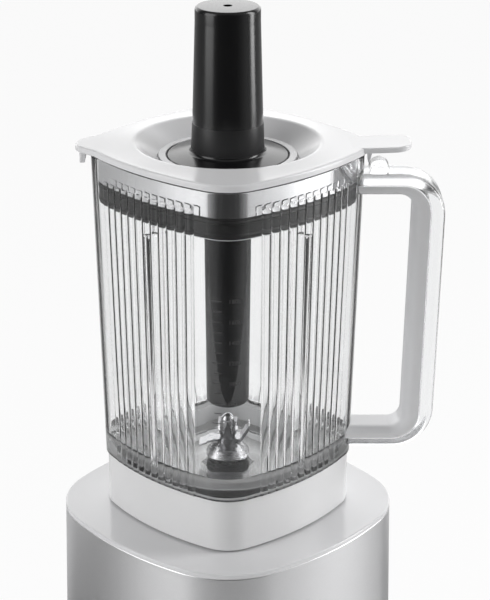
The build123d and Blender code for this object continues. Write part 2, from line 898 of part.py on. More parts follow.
# Power board standing on the pan, with a relay and two capacitors
with BuildPart() as power_board:
    with BuildSketch(Plane.XZ.offset(-power_board_y)):
        with Locations((0, pan_floor_top + power_board_height / 2)):
            Rectangle(power_board_width, power_board_height)
    extrude(amount=-board_thickness)
    with BuildSketch(Plane.XZ.offset(-power_board_y)):
        with Locations((-power_board_width / 4, pan_floor_top + power_board_height / 2)):
            Rectangle(relay_size, relay_size)
    extrude(amount=relay_depth)
    with BuildSketch(Plane.XZ.offset(-power_board_y)):
        for rise in (1 / 3, 2 / 3):
            with Locations((power_board_width / 4, pan_floor_top + power_board_height * rise)):
                Circle(capacitor_radius)
    extrude(amount=capacitor_length)
finish(power_board, "power_board")

# Cord gland behind
gland_face = base_corner(gland_height - gland_flange)

with BuildPart() as cord_gland:
    with BuildSketch(Plane.XZ.offset(-gland_face)):
        with Locations((0, gland_height)):
            Circle(gland_flange)
    extrude(amount=-gland_flange_thickness)
    with BuildSketch(Plane.XZ.offset(-gland_face)):
        with Locations((0, gland_height)):
            Circle(gland_radius)
    extrude(amount=gland_inside)
    with BuildSketch(Plane.XZ.offset(-gland_face - gland_flange_thickness)):
        with Locations((0, gland_height)):
            Circle(gland_radius)
    extrude(amount=-gland_nose, taper=12)
    with BuildSketch(Plane.XZ.offset(-gland_face - gland_flange_thickness - gland_nose)):
        with Locations((0, gland_height)):
            Circle(gland_bore)
    extrude(amount=gland_nose + gland_flange_thickness + gland_inside, mode=Mode.SUBTRACT)
finish(cord_gland, "cord_gland")

# Jug detection: magnet on the collar's web, sensor under the deck
with BuildPart() as interlock_magnet:
    with BuildSketch(Plane.XY.offset(web_top)):
        with Locations((0, -sensor_circle_radius)):
            Circle(magnet_radius)
    extrude(amount=magnet_height)
finish(interlock_magnet, "interlock_magnet")

with BuildPart() as interlock_sensor:
    with BuildSketch(Plane.XY.offset(deck_under)):
        with Locations((0, -sensor_circle_radius)):
            Rectangle(sensor_width, sensor_depth)
    extrude(amount=-sensor_height)
finish(interlock_sensor, "interlock_sensor")

# Control panel: curved with the shell, with a round bezel for the knob and posts for the board
panel_face = base_corner(panel_middle)
board_face = panel_face - board_setback
board_low = button_z - board_over
board_high = knob_z + board_over
board_width = 2 * (button_spread + board_margin) + switch_size
board_posts = [
    (side * (board_width / 2 - board_post_radius), level)
    for side in (1, -1)
    for level in (board_low + board_post_radius, board_high - board_post_radius)
]
button_points = [(-button_spread, button_z), (button_spread, button_z)]

with BuildPart() as control_panel:
    with BuildSketch(Plane.XY.offset(pan_top)):
        add(base_outline(pan_top, -panel_proud))
    extrude(amount=deck_under - pan_top, taper=base_flare)
    with BuildSketch(Plane.XY.offset(pan_top)):
        add(base_outline(pan_top, panel_wall))
    extrude(amount=deck_under - pan_top, taper=base_flare, mode=Mode.SUBTRACT)
    with BuildSketch(Plane.XZ.offset(board_face)):
        with Locations(*board_posts):
            Circle(board_post_radius)
    extrude(amount=board_setback)
    with BuildSketch(Plane.XY.offset(pan_top)):
        add(base_outline(pan_top, -panel_proud))
    extrude(amount=deck_under - pan_top, taper=base_flare, mode=Mode.INTERSECT)
    with BuildSketch(Plane.XZ):
        with Locations((0, panel_middle)):
            RectangleRounded(panel_width, panel_height, panel_corner_radius)
    extrude(amount=2 * deck_corner, mode=Mode.INTERSECT)
    with BuildSketch(Plane.XZ.offset(panel_face + bezel_proud)):
        with Locations((0, knob_z)):
            Circle(bezel_radius)
    extrude(amount=-bezel_proud - bezel_depth)
    with BuildSketch(Plane.XZ.offset(board_face)):
        with Locations((0, knob_z)):
            Circle(knob_shaft_radius + slip)
        with Locations(*button_points):
            Circle(button_radius + button_gap)
    extrude(amount=2 * board_setback, mode=Mode.SUBTRACT)
finish(control_panel, "control_panel")

# Control board with the knob's encoder and the two switches
with BuildPart() as control_board:
    with BuildSketch(Plane.XZ.offset(board_face)):
        with Locations((0, (board_low + board_high) / 2)):
            Rectangle(board_width, board_high - board_low)
    extrude(amount=-board_thickness)
    with BuildSketch(Plane.XZ.offset(board_face)):
        with Locations((0, knob_z)):
            Rectangle(encoder_size, encoder_size)
    extrude(amount=encoder_depth)
    with BuildSketch(Plane.XZ.offset(board_face)):
        with Locations(*button_points):
            Rectangle(switch_size, switch_size)
    extrude(
        amount=board_setback - button_flange_gap - button_flange_thickness - button_travel - lift_gap
    )
    with BuildSketch(Plane.XZ.offset(board_face + encoder_depth)):
        with Locations((0, knob_z)):
            Circle(knob_shaft_radius + running)
    extrude(amount=-encoder_bore_depth, mode=Mode.SUBTRACT)
finish(control_board, "control_board")

# Knob: shaft into the encoder, fluted grip and a flat trim disc
knob_back = panel_face + bezel_proud + knob_gap
knob_front = knob_back + knob_length

with BuildPart() as knob_shaft:
    with BuildSketch(Plane.XZ.offset(board_face + encoder_depth - encoder_bore_depth + lift_gap)):
        with Locations((0, knob_z)):
            Circle(knob_shaft_radius)
    extrude(amount=knob_back + knob_shaft_bite - board_face - encoder_depth + encoder_bore_depth - lift_gap)
finish(knob_shaft, "knob_shaft")

with BuildPart() as control_knob:
    with BuildSketch(Plane.XZ.offset(knob_back)):
        with Locations((0, knob_z)):
            Circle(knob_radius)
    extrude(amount=knob_length)
    fillet(control_knob.edges().group_by(Axis.Y)[0], knob_edge)
    with BuildSketch(Plane.XZ.offset(knob_back)):
        with Locations((0, knob_z)):
            with PolarLocations(knob_radius, knob_grooves):
                Circle(knob_groove_radius)
    extrude(amount=knob_length - 2 * knob_edge, mode=Mode.SUBTRACT)
    with BuildSketch(Plane.XZ.offset(knob_back)):
        with Locations((0, knob_z)):
            Circle(knob_shaft_radius + thread_gap)
    extrude(amount=knob_shaft_bite, mode=Mode.SUBTRACT)
    with BuildSketch(Plane.XZ.offset(knob_front)):
        with Locations((0, knob_z)):
            Circle(knob_trim_radius + slip)
    extrude(amount=-knob_trim_thickness, mode=Mode.SUBTRACT)
finish(control_knob, "control_knob")

with BuildPart() as knob_trim:
    with BuildSketch(Plane.XZ.offset(knob_front - knob_trim_thickness)):
        with Locations((0, knob_z)):
            Circle(knob_trim_radius)
    extrude(amount=knob_trim_thickness)
    with BuildSketch(Plane.XZ.offset(knob_front)):
        with Locations((0, knob_z + knob_mark_reach)):
            Circle(knob_mark_radius)
    extrude(amount=-knob_mark_depth, mode=Mode.SUBTRACT)
finish(knob_trim, "knob_trim")


# Push buttons with a flange behind the panel

def push_button(x):
    with BuildPart() as button:
        with BuildSketch(Plane.XZ.offset(panel_face - button_flange_gap)):
            with Locations((x, button_z)):
                Circle(button_radius)
        extrude(amount=button_flange_gap + button_proud)
        fillet(button.edges().group_by(Axis.Y)[0], button_edge)
        with BuildSketch(Plane.XZ.offset(panel_face - button_flange_gap)):
            with Locations((x, button_z)):
                Circle(button_flange)
        extrude(amount=-button_flange_thickness)
    return button


start_button = push_button(button_spread)
finish(start_button, "start_button")
pulse_button = push_button(-button_spread)
finish(pulse_button, "pulse_button")

# Jug collar: wall, web and screw posts
with BuildPart() as jug_collar:
    with BuildSketch(Plane.XY.offset(collar_bottom)):
        add(squircle(collar_corner, collar_corner_radius, collar_bulge))
    extrude(amount=collar_top - collar_bottom)
    with BuildSketch(Plane.XY.offset(collar_bottom)):
        add(squircle(collar_inside, collar_corner_radius - collar_wall, collar_bulge))
    extrude(amount=web_under - collar_bottom, mode=Mode.SUBTRACT)
    with BuildSketch(Plane.XY.offset(web_top)):
        add(squircle(collar_inside, collar_corner_radius - collar_wall, collar_bulge))
        with PolarLocations(web_post_circle_radius, 4, 45):
            Circle(web_post_radius, mode=Mode.SUBTRACT)
    extrude(amount=floor_under - web_top, mode=Mode.SUBTRACT)
    with BuildSketch(Plane.XY.offset(floor_under)):
        add(squircle(collar_inside, collar_corner_radius - collar_wall, collar_bulge))
    extrude(amount=collar_top - floor_under, mode=Mode.SUBTRACT)
    with BuildSketch(Plane.XY.offset(web_under)):
        Circle(web_hole)
        with PolarLocations(web_post_circle_radius, 4, 45):
            Circle(collar_screw_radius + thread_gap)
    extrude(amount=floor_under - web_under, mode=Mode.SUBTRACT)
    with BuildSketch(Plane.XY.offset(web_under)):
        with PolarLocations(web_post_circle_radius, 4, 45):
            Circle(collar_screw_head + slip)
    extrude(amount=collar_screw_head_height + slip, mode=Mode.SUBTRACT)
finish(jug_collar, "jug_collar")

with BuildPart() as collar_screws:
    with BuildSketch(Plane.XY.offset(web_under + slip)):
        with PolarLocations(web_post_circle_radius, 4, 45):
            Circle(collar_screw_head)
    extrude(amount=collar_screw_head_height)
    with BuildSketch(Plane.XY.offset(web_under + slip)):
        with PolarLocations(web_post_circle_radius, 4, 45):
            Circle(collar_screw_radius)
    extrude(amount=floor_under + collar_screw_bite - web_under - slip)
finish(collar_screws, "collar_screws")

# Clear jug: reeded walls, plain rim band, neck inside the collar, bowl and four baffles
with BuildPart() as jug_body:
    for height in (collar_top, reed_top):
        with BuildSketch(Plane.XY.offset(height)):
            add(reeded_squircle(*jug_outline(height)))
    loft(ruled=True)
    for height in (reed_top, rim_top):
        with BuildSketch(Plane.XY.offset(height)):
            add(squircle(*jug_outline(height)))
    loft(ruled=True)
    with BuildSketch(Plane.XY.offset(floor_under)):
        add(squircle(neck_corner, neck_radius, neck_bulge))
    extrude(amount=collar_top - floor_under)
    for height in (bowl_top, rim_top):
        with BuildSketch(Plane.XY.offset(height)):
            add(squircle(*jug_inside(height)))
    loft(ruled=True, mode=Mode.SUBTRACT)
    with BuildSketch(Plane.XY.offset(floor_top)):
        add(squircle(floor_corner, floor_corner_radius, neck_bulge))
    with BuildSketch(Plane.XY.offset(knee_top)):
        add(squircle(knee_corner, knee_corner_radius, neck_bulge))
    loft(ruled=True, mode=Mode.SUBTRACT)
    with BuildSketch(Plane.XY.offset(knee_top)):
        add(squircle(knee_corner, knee_corner_radius, neck_bulge))
    with BuildSketch(Plane.XY.offset(bowl_top)):
        add(squircle(*jug_inside(bowl_top)))
    loft(ruled=True, mode=Mode.SUBTRACT)
    for spin in quarter_turns:
        for height in (knee_top, rim_top - baffle_drop):
            baffle_reach = half_width(jug_inside(height)) + baffle_sink - baffle_depth / 2
            with BuildSketch(Plane.XY.offset(height)):
                with Locations(at_angle(baffle_reach, spin + 45)):
                    RectangleRounded(baffle_depth, baffle_width, baffle_edge, rotation=spin + 45)
        loft(ruled=True)
    with BuildSketch(Plane.XY.offset(floor_under)):
        Circle(stem_radius + slip)
        with PolarLocations(web_post_circle_radius, 4, 45):
            Circle(collar_screw_radius + thread_gap)
    extrude(amount=collar_screw_bite + slip, mode=Mode.SUBTRACT)
    with BuildSketch(Plane.XY.offset(floor_under)):
        Circle(stem_radius + slip)
    extrude(amount=floor_thickness, mode=Mode.SUBTRACT)
finish(jug_body, "jug_body")

# Handle: clear outer part and grey inner grip, both fitted to the jug's corner
handle_band = (handle_bottom - shell_side, handle_top + shell_side)

with BuildPart() as handle_shell:
    with BuildSketch(Plane.XZ):
        add(handle_outline(0, 0, handle_corner_radius))
    extrude(amount=handle_width / 2, both=True)
    side_edges = handle_shell.faces().filter_by(Axis.Y).edges()
    fillet(side_edges.filter_by(lambda edge: edge.center().X > jug_foot_corner / 4), handle_edge)
    with BuildSketch(Plane.XZ):
        add(handle_outline(shell_side, shell_arm, grip_corner_radius))
    extrude(amount=handle_width, both=True, mode=Mode.SUBTRACT)
    with BuildSketch(Plane.XZ):
        with Locations((latch_boss_reach, handle_top)):
            Circle(latch_boss_radius)
        with Locations((latch_boss_reach, handle_top - latch_boss_radius)):
            Rectangle(4 * latch_boss_radius, 2 * latch_boss_radius, mode=Mode.SUBTRACT)
    extrude(amount=latch_boss_width / 2, both=True)
    for height in handle_band:
        with BuildSketch(Plane.XY.offset(height)):
            add(squircle(*jug_outline(height, -bond_gap)))
    loft(ruled=True, mode=Mode.SUBTRACT)
finish(handle_shell, "handle_shell")

window_side = shell_side + grip_side
window_arm = shell_arm + grip_arm
pin_middle = (handle_top + handle_bottom) / 2
pin_levels = (pin_middle - pin_spacing / 2, pin_middle + pin_spacing / 2)


def window_reach(height):
    lean = (handle_reach_top - handle_reach_bottom) / handle_height
    return handle_reach_bottom + lean * (height - handle_bottom) - window_side


with BuildPart() as handle_grip:
    with BuildSketch(Plane.XZ):
        add(handle_outline(shell_side + slip, shell_arm + slip, grip_corner_radius - slip))
        add(handle_outline(window_side, window_arm, window_corner_radius), mode=Mode.SUBTRACT)
    extrude(amount=handle_width / 2, both=True)
    side_edges = handle_grip.faces().filter_by(Axis.Y).edges()
    window_top = handle_top - window_arm + slip
    window_bottom = handle_bottom + window_arm - slip

    def on_window(edge):
        middle = edge.center()
        inside = window_bottom < middle.Z < window_top
        return inside and jug_foot_corner / 4 < middle.X < window_reach(middle.Z) + slip

    fillet(side_edges.filter_by(on_window), grip_edge)
    for level in pin_levels:
        with BuildSketch(Plane.YZ.offset(window_reach(level))):
            with Locations((0, level)):
                Circle(pin_radius + thread_gap)
        extrude(amount=pin_depth, mode=Mode.SUBTRACT)
        with BuildSketch(Plane.YZ.offset(window_reach(level))):
            with Locations((0, level)):
                Circle(pin_radius + thread_gap)
        extrude(amount=-pin_depth, mode=Mode.SUBTRACT)
    for height in handle_band:
        with BuildSketch(Plane.XY.offset(height)):
            add(squircle(*jug_outline(height, -bond_gap)))
    loft(ruled=True, mode=Mode.SUBTRACT)
finish(handle_grip, "handle_grip")

with BuildPart() as handle_pins:
    for level in pin_levels:
        with BuildSketch(Plane.YZ.offset(window_reach(level) + slip)):
            with Locations((0, level)):
                Circle(pin_radius)
        extrude(amount=pin_depth - slip)
finish(handle_pins, "handle_pins")

# Blade housing through the jug floor: skirt above, stem, nut and gasket
bearing_levels = [stem_bottom + slip, stem_bottom + slip + blade_bearing_pitch]
seal_top = skirt_top - seal_drop

with BuildPart() as blade_housing:
    with BuildSketch(Plane.XZ):
        with BuildLine():
            Polyline(
                (blade_shaft_radius + seal_drop, stem_bottom),
                (stem_radius, stem_bottom),
                (stem_radius, skirt_bottom),
                (skirt_foot_radius, skirt_bottom),
                (skirt_radius, skirt_bottom + skirt_edge_rise),
                (skirt_top_radius, skirt_top),
                (blade_shaft_radius + 2 * slip, skirt_top),
                (blade_shaft_radius + 2 * slip, seal_top),
                (seal_radius, seal_top),
                (seal_radius, seal_top - seal_height),
                (blade_shaft_radius + seal_drop, seal_top - seal_height),
                close=True,
            )
        make_face()
    revolve(axis=Axis.Z)
    for bottom in bearing_levels:
        with BuildSketch(Plane.XY.offset(bottom)):
            Circle(blade_bearing_radius)
        extrude(amount=blade_bearing_height, mode=Mode.SUBTRACT)
finish(blade_housing, "blade_housing")

with BuildPart() as housing_gasket:
    with BuildSketch(Plane.XY.offset(floor_top)):
        Circle(skirt_foot_radius)
        Circle(stem_radius + slip, mode=Mode.SUBTRACT)
    extrude(amount=gasket_thickness)
finish(housing_gasket, "housing_gasket")

with BuildPart() as housing_nut:
    with BuildSketch(Plane.XY.offset(floor_under - housing_nut_thickness)):
        RegularPolygon(housing_nut_radius, 6)
        Circle(stem_radius + thread_gap, mode=Mode.SUBTRACT)
    extrude(amount=housing_nut_thickness)
finish(housing_nut, "housing_nut")

with BuildPart() as blade_bearings:
    for bottom in bearing_levels:
        with BuildSketch(Plane.XY.offset(bottom)):
            Circle(blade_bearing_radius)
            Circle(blade_shaft_radius + running, mode=Mode.SUBTRACT)
        extrude(amount=blade_bearing_height)
finish(blade_bearings, "blade_bearings")

with BuildPart() as shaft_seal:
    with BuildSketch(Plane.XY.offset(seal_top - seal_height)):
        Circle(seal_radius)
        Circle(blade_shaft_radius + running, mode=Mode.SUBTRACT)
    extrude(amount=seal_height)
finish(shaft_seal, "shaft_seal")

# Blade set: shaft, two bent blades, flared washer, domed nut, and the star under the jug
with BuildPart() as blade_shaft:
    with BuildSketch(Plane.XY.offset(star_bottom + lift_gap)):
        Circle(blade_shaft_radius)
    extrude(amount=lower_blade_z - star_bottom - lift_gap)
    with BuildSketch(Plane.XY.offset(lower_blade_z)):
        Circle(stud_radius)
    extrude(amount=nut_z + nut_body + stud_end - lower_blade_z)
finish(blade_shaft, "blade_shaft")


def bent_blade(plane, bottom, width, points):
    with BuildPart() as blade:
        with BuildSketch(plane):
            with BuildLine():
                Polyline(*[(x, bottom + rise) for x, rise in points], close=True)
            make_face()
        extrude(amount=width / 2, both=True)
        with BuildSketch(Plane.XY.offset(bottom)):
            Circle(blade_hub_radius)
        extrude(amount=blade_thickness)
        with BuildSketch(Plane.XY.offset(bottom)):
            Circle(stud_radius + thread_gap)
        extrude(amount=blade_thickness, mode=Mode.SUBTRACT)
    return blade


lower_blade = bent_blade(
    Plane.YZ,
    lower_blade_z,
    lower_blade_width,
    [
        (-lower_blade_tip, lower_blade_lift),
        (-lower_blade_bend, 0),
        (lower_blade_bend, 0),
        (lower_blade_tip, lower_blade_lift),
        (lower_blade_tip, lower_blade_lift + blade_thickness / 2),
        (lower_blade_bend, blade_thickness),
        (-lower_blade_bend, blade_thickness),
        (-lower_blade_tip, lower_blade_lift + blade_thickness / 2),
    ],
)
finish(lower_blade, "lower_blade")

upper_blade = bent_blade(
    Plane.XZ,
    upper_blade_z,
    upper_blade_width,
    [
        (-upper_blade_fall_tip, -upper_blade_fall),
        (-upper_blade_bend, 0),
        (upper_blade_bend, 0),
        (upper_blade_tip, upper_blade_lift),
        (upper_blade_tip - blade_thickness, upper_blade_lift + blade_thickness / 2),
        (upper_blade_bend - blade_thickness / 2, blade_thickness),
        (-upper_blade_bend, blade_thickness),
        (-upper_blade_fall_tip, blade_thickness / 2 - upper_blade_fall),
    ],
)
finish(upper_blade, "upper_blade")

with BuildPart() as blade_washer:
    with BuildSketch(Plane.XZ):
        with BuildLine():
            Polyline(
                (stud_radius + thread_gap, washer_z),
                (washer_foot_radius, washer_z),
                (washer_rim_radius, nut_z),
                (stud_radius + thread_gap, nut_z),
                close=True,
            )
        make_face()
    revolve(axis=Axis.Z)
finish(blade_washer, "blade_washer")

with BuildPart() as blade_nut:
    with BuildSketch(Plane.XY.offset(nut_z)):
        RegularPolygon(nut_across / 2, 6, major_radius=False)
    extrude(amount=nut_body)
    with BuildSketch(Plane.XZ):
        with BuildLine():
            Polyline((nut_across / 2, nut_z + nut_body), (0, nut_z + nut_body), (0, nut_top))
            ThreePointArc(
                (0, nut_top),
                (nut_across / 2 * sin(radians(45)), nut_z + nut_body + nut_dome * cos(radians(45))),
                (nut_across / 2, nut_z + nut_body),
            )
        make_face()
    revolve(axis=Axis.Z)
    with BuildSketch(Plane.XY.offset(nut_z)):
        Circle(stud_radius + thread_gap)
    extrude(amount=nut_body + stud_end + slip, mode=Mode.SUBTRACT)
finish(blade_nut, "blade_nut")

with BuildPart() as jug_coupling:
    with BuildSketch(Plane.XY.offset(star_bottom)):
        add(star_outline(0))
    extrude(amount=star_height)
    with BuildSketch(Plane.XY.offset(star_bottom + lift_gap)):
        Circle(blade_shaft_radius)
    extrude(amount=star_height, mode=Mode.SUBTRACT)
finish(jug_coupling, "jug_coupling")

# Lid: plate with dished top, grip tab and hook on the handle side, lip on the other, plug below
with BuildPart() as lid_plate:
    with BuildSketch(Plane.XY.offset(lid_under)):
        add(squircle(lid_corner, lid_corner_radius, lid_bulge))
    extrude(amount=lid_thickness)
    fillet(lid_plate.edges().group_by(Axis.Z)[-1], lid_edge)
    with BuildSketch(Plane.XZ):
        with BuildLine():
            Polyline((0, lid_under), (crown_radius, lid_top - tab_drop), (dish_radius, dish_top))
            Polyline((dish_radius, dish_top), (0, dish_top), (0, lid_under))
        make_face()
    revolve(axis=Axis.Z)
    with BuildSketch(Plane.XY.offset(lid_under + tab_rise)) as tab_plan:
        with Locations((tab_reach / 2, 0)):
            Rectangle(tab_reach, tab_width)
        fillet(tab_plan.vertices().group_by(Axis.X)[-1], tab_corner_radius)
    extrude(amount=lid_thickness - tab_rise - tab_drop)
    with BuildSketch(Plane.XY.offset(lid_under)) as lip_plan:
        with Locations((-lip_reach / 2, 0)):
            Rectangle(lip_reach, lip_width)
        fillet(lip_plan.vertices().group_by(Axis.X)[0], lip_corner_radius)
    extrude(amount=lip_thickness)
    with BuildSketch(Plane.XY.offset(lid_under)):
        with Locations((lip_thickness / 2 - lip_reach, 0)):
            Rectangle(lip_thickness, lip_width - 2 * lip_corner_radius)
    extrude(amount=-lip_depth)
    with BuildSketch(Plane.XY.offset(lid_under)):
        with Locations((hook_reach - hook_thickness / 2, 0)):
            Rectangle(hook_thickness, hook_width)
    extrude(amount=-hook_depth)
    with BuildSketch(Plane.XY.offset(plug_bottom)):
        add(squircle(plug_corner, plug_radius, jug_bulge))
    extrude(amount=plug_depth)
    with BuildSketch(Plane.XY.offset(plug_bottom)):
        add(squircle(plug_corner - plug_wall, plug_radius - plug_wall, jug_bulge))
    extrude(amount=plug_depth, mode=Mode.SUBTRACT)
    with BuildSketch(Plane.XZ):
        with BuildLine():
            Polyline(
                (0, dish_bottom - dish_wall),
                (dish_floor_radius, dish_bottom - dish_wall),
                (dish_radius, lid_under),
                (dish_radius, lid_top),
                (0, lid_top),
                close=True,
            )
        make_face()
    revolve(axis=Axis.Z)
    with BuildSketch(Plane.XZ):
        with BuildLine():
            Polyline(
                (0, dish_bottom),
                (dish_floor_radius, dish_bottom),
                (dish_radius, dish_top),
                (0, dish_top),
                close=True,
            )
        make_face()
    revolve(axis=Axis.Z, mode=Mode.SUBTRACT)
    with BuildSketch(Plane.XY.offset(dish_bottom - dish_wall)):
        Circle(lid_opening)
    extrude(amount=dish_wall, mode=Mode.SUBTRACT)
finish(lid_plate, "lid_plate")

# Ring in the lid's opening, with the tamper's seat
with BuildPart() as lid_ring:
    with BuildSketch(Plane.XZ):
        with BuildLine():
            Polyline(
                (ring_bore, dish_bottom - dish_wall),
                (lid_opening - slip, dish_bottom - dish_wall),
                (lid_opening - slip, dish_bottom),
                (ring_rim_radius, dish_bottom),
                (ring_rim_radius, ring_top - ring_rim_height / 3),
                (ring_rim_radius - ring_rim_height / 3, ring_top),
                (ring_seat_radius, ring_top),
                (ring_seat_radius, ring_seat),
                (ring_bore, ring_seat),
                close=True,
            )
        make_face()
    revolve(axis=Axis.Z)
finish(lid_ring, "lid_ring")

# Polished band and double-lipped seal round the plug
gasket_bottom = plug_bottom + gasket_rise
gasket_top = gasket_bottom + gasket_height


def plug_sleeve(bottom, height, outer):
    with BuildPart() as sleeve:
        with BuildSketch(Plane.XY.offset(bottom)):
            add(squircle(plug_corner + outer, plug_radius + outer, jug_bulge))
            add(squircle(plug_corner, plug_radius, jug_bulge), mode=Mode.SUBTRACT)
        extrude(amount=height)
    return sleeve


plug_band = plug_sleeve(gasket_top + slip, lid_under - gasket_top - 2 * slip, band_thickness)
finish(plug_band, "plug_band")

with BuildPart() as lid_gasket:
    add(plug_sleeve(gasket_bottom, gasket_height, gasket_body).part)
    for bottom in (gasket_bottom + gasket_lip_inset, gasket_top - gasket_lip_inset - gasket_lip_height):
        add(plug_sleeve(bottom, gasket_lip_height, gasket_lip).part)
finish(lid_gasket, "lid_gasket")

# Tamper: rod, resting flange and hollow grip in one piece, closed by a cap
grip_step_z = flange_top + grip_base_height

with BuildPart() as tamper_body:
    with BuildSketch(Plane.XZ):
        with BuildLine():
            Polyline(
                (0, rod_end),
                (rod_end_radius - rod_end_round, rod_end),
            )
            ThreePointArc(
                (rod_end_radius - rod_end_round, rod_end),
                (
                    rod_end_radius - rod_end_round * (1 - sin(radians(45))),
                    rod_end + rod_end_round * (1 - cos(radians(45))),
                ),
                (rod_end_radius, rod_end + rod_end_round),
            )
            Polyline(
                (rod_end_radius, rod_end + rod_end_round),
                (rod_top_radius, flange_under),
                (flange_radius, flange_under),
                (flange_radius, flange_under + flange_thickness / 2),
                (grip_base_radius, flange_top),
                (grip_base_radius, grip_step_z),
                (grip_base_radius - grip_step, grip_step_z),
                (grip_top_radius, cap_under),
                (grip_top_radius - tamper_wall, cap_under),
                (grip_top_radius - tamper_wall, flange_top + tamper_wall),
                (rod_end_radius - tamper_wall, flange_under),
                (rod_end_radius - tamper_wall, rod_end + rod_end_round),
                (0, rod_end + rod_end_round),
                (0, rod_end),
            )
        make_face()
    revolve(axis=Axis.Z)
finish(tamper_body, "tamper_body")

with BuildPart() as tamper_cap:
    with BuildSketch(Plane.XY.offset(cap_under)):
        Circle(grip_top_radius)
    extrude(amount=cap_thickness)
    fillet(tamper_cap.edges().group_by(Axis.Z)[-1], cap_round)
    with BuildSketch(Plane.XY.offset(cap_under)):
        Circle(grip_top_radius - tamper_wall - slip)
    extrude(amount=-cap_spigot)
    with BuildSketch(Plane.XY.offset(tamper_top)):
        Circle(cap_hole_radius)
    extrude(amount=-cap_thickness - cap_spigot, mode=Mode.SUBTRACT)
finish(tamper_cap, "tamper_cap")
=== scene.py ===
import bmesh
import bpy
import json
import math
from bmesh.types import BMEdge, BMFace, BMVert
from mathutils import Matrix, Vector

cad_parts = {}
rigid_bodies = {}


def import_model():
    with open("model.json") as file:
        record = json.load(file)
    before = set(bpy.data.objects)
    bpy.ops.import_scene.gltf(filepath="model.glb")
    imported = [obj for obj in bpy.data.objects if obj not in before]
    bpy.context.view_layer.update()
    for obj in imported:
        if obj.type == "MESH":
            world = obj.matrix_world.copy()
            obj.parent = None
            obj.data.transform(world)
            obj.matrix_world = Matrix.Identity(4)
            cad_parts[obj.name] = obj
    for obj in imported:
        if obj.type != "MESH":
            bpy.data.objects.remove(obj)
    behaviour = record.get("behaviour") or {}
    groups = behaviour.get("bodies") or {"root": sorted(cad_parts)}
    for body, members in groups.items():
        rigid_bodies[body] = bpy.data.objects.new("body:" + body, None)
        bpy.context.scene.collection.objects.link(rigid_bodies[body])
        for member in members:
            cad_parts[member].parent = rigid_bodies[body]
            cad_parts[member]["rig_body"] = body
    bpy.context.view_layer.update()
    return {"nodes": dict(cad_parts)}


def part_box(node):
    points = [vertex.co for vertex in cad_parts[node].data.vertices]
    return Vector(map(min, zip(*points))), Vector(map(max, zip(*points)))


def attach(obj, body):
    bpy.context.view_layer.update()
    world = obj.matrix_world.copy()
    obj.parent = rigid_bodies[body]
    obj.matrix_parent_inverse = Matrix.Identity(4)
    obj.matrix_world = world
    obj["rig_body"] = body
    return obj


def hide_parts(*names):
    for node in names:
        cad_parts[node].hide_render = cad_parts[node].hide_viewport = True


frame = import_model()
nodes = frame["nodes"]
mm = 0.001
mergeGap = 0.5e-5
bossRise = 10 * mm  # the jug's seat stands on a boss
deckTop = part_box("seat_pad")[0].z - bossRise  # flat top of the motor base
print("frame loaded,", len(nodes), "nodes")


# helpers for meshes

def meshPiece(name, bm, body, material, stands=(), smooth=35):
    bmesh.ops.remove_doubles(bm, verts=bm.verts, dist=mergeGap)
    bmesh.ops.recalc_face_normals(bm, faces=bm.faces)
    mesh = bpy.data.meshes.new(name)
    bm.to_mesh(mesh)
    bm.free()
    mesh.shade_smooth()
    mesh.set_sharp_from_angle(angle=math.radians(smooth))
    mesh.materials.append(material)
    piece = bpy.data.objects.new(name, mesh)
    bpy.context.scene.collection.objects.link(piece)
    even = piece.modifiers.new("even shading", "WEIGHTED_NORMAL")
    even.keep_sharp = True
    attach(piece, body)
    if stands:
        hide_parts(*stands)
    return piece


def dressNodes(material, smooth, *names):
    for name in names:
        bm = bmesh.new()
        bm.from_mesh(nodes[name].data)  # a merged copy, so that round faces shade smoothly
        meshPiece(name + "_smooth", bm, nodes[name]["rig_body"], material, [name], smooth)


def paintNodes(material, *names):
    for name in names:
        nodes[name].data.materials.clear()
        nodes[name].data.materials.append(material)


def turnProfile(points, steps=96, middle=(0, 0)):
    bm = bmesh.new()
    profile = [bm.verts.new((middle[0] + x * mm, middle[1], z)) for x, z in points]
    edges = [bm.edges.new(pair) for pair in zip(profile, profile[1:])]
    bmesh.ops.spin(
        bm, geom=profile + edges, cent=(middle[0], middle[1], 0), axis=(0, 0, 1),
        angle=math.tau, steps=steps, use_merge=True,
    )
    return bm


def arcPoints(centre, radius, start, end, steps):
    turn = [math.radians(start + (end - start) * i / steps) for i in range(steps + 1)]
    return [(centre[0] + radius * math.cos(t), centre[1] + radius * math.sin(t)) for t in turn]


def edgesOf(verts):
    return list({edge for vert in verts for edge in vert.link_edges})


def only(items, kind):
    return [item for item in items if isinstance(item, kind)]


def isLevel(edge):
    return abs(edge.verts[0].co.z - edge.verts[1].co.z) < 1e-6


def bevelEdges(bm, edges, size, segments):
    return bmesh.ops.bevel(
        bm, geom=edges, offset=size, affect="EDGES", segments=segments, profile=0.5, material=-1
    )["faces"]


def startLoop(bm, count):
    mark = bm.verts.layers.int.new("station")
    loop = bmesh.ops.create_circle(bm, segments=count, radius=0.1)["verts"]
    for index, vert in enumerate(loop):
        vert[mark] = index
    return mark, loop, edgesOf(loop)


def nextLoop(bm, edges):
    made = bmesh.ops.extrude_edge_only(bm, edges=edges)["geom"]
    return only(made, BMVert), only(made, BMEdge), only(made, BMFace)


# rounded squares: corners on the X and Y axes, sides bulging out a little

reeds = {
    "count": 12, "margin": 19.0, "plainLeast": 0.1, "pitch": 6.4, "crown": 6, "crownFront": 3, "shallow": 0.45,
    "shadeStripe": (0.28, 0.72), "ribHalf": 2.6,
}


def sideArc(corner, radius, bulge):
    reach = corner - radius
    back = (reach**2 - (reach / math.sqrt(2) + bulge) ** 2) / (2 * math.sqrt(2) * bulge)
    sideRadius = reach / math.sqrt(2) + radius + bulge + back * math.sqrt(2)
    return reach, back, sideRadius, math.atan2(back, reach + back)


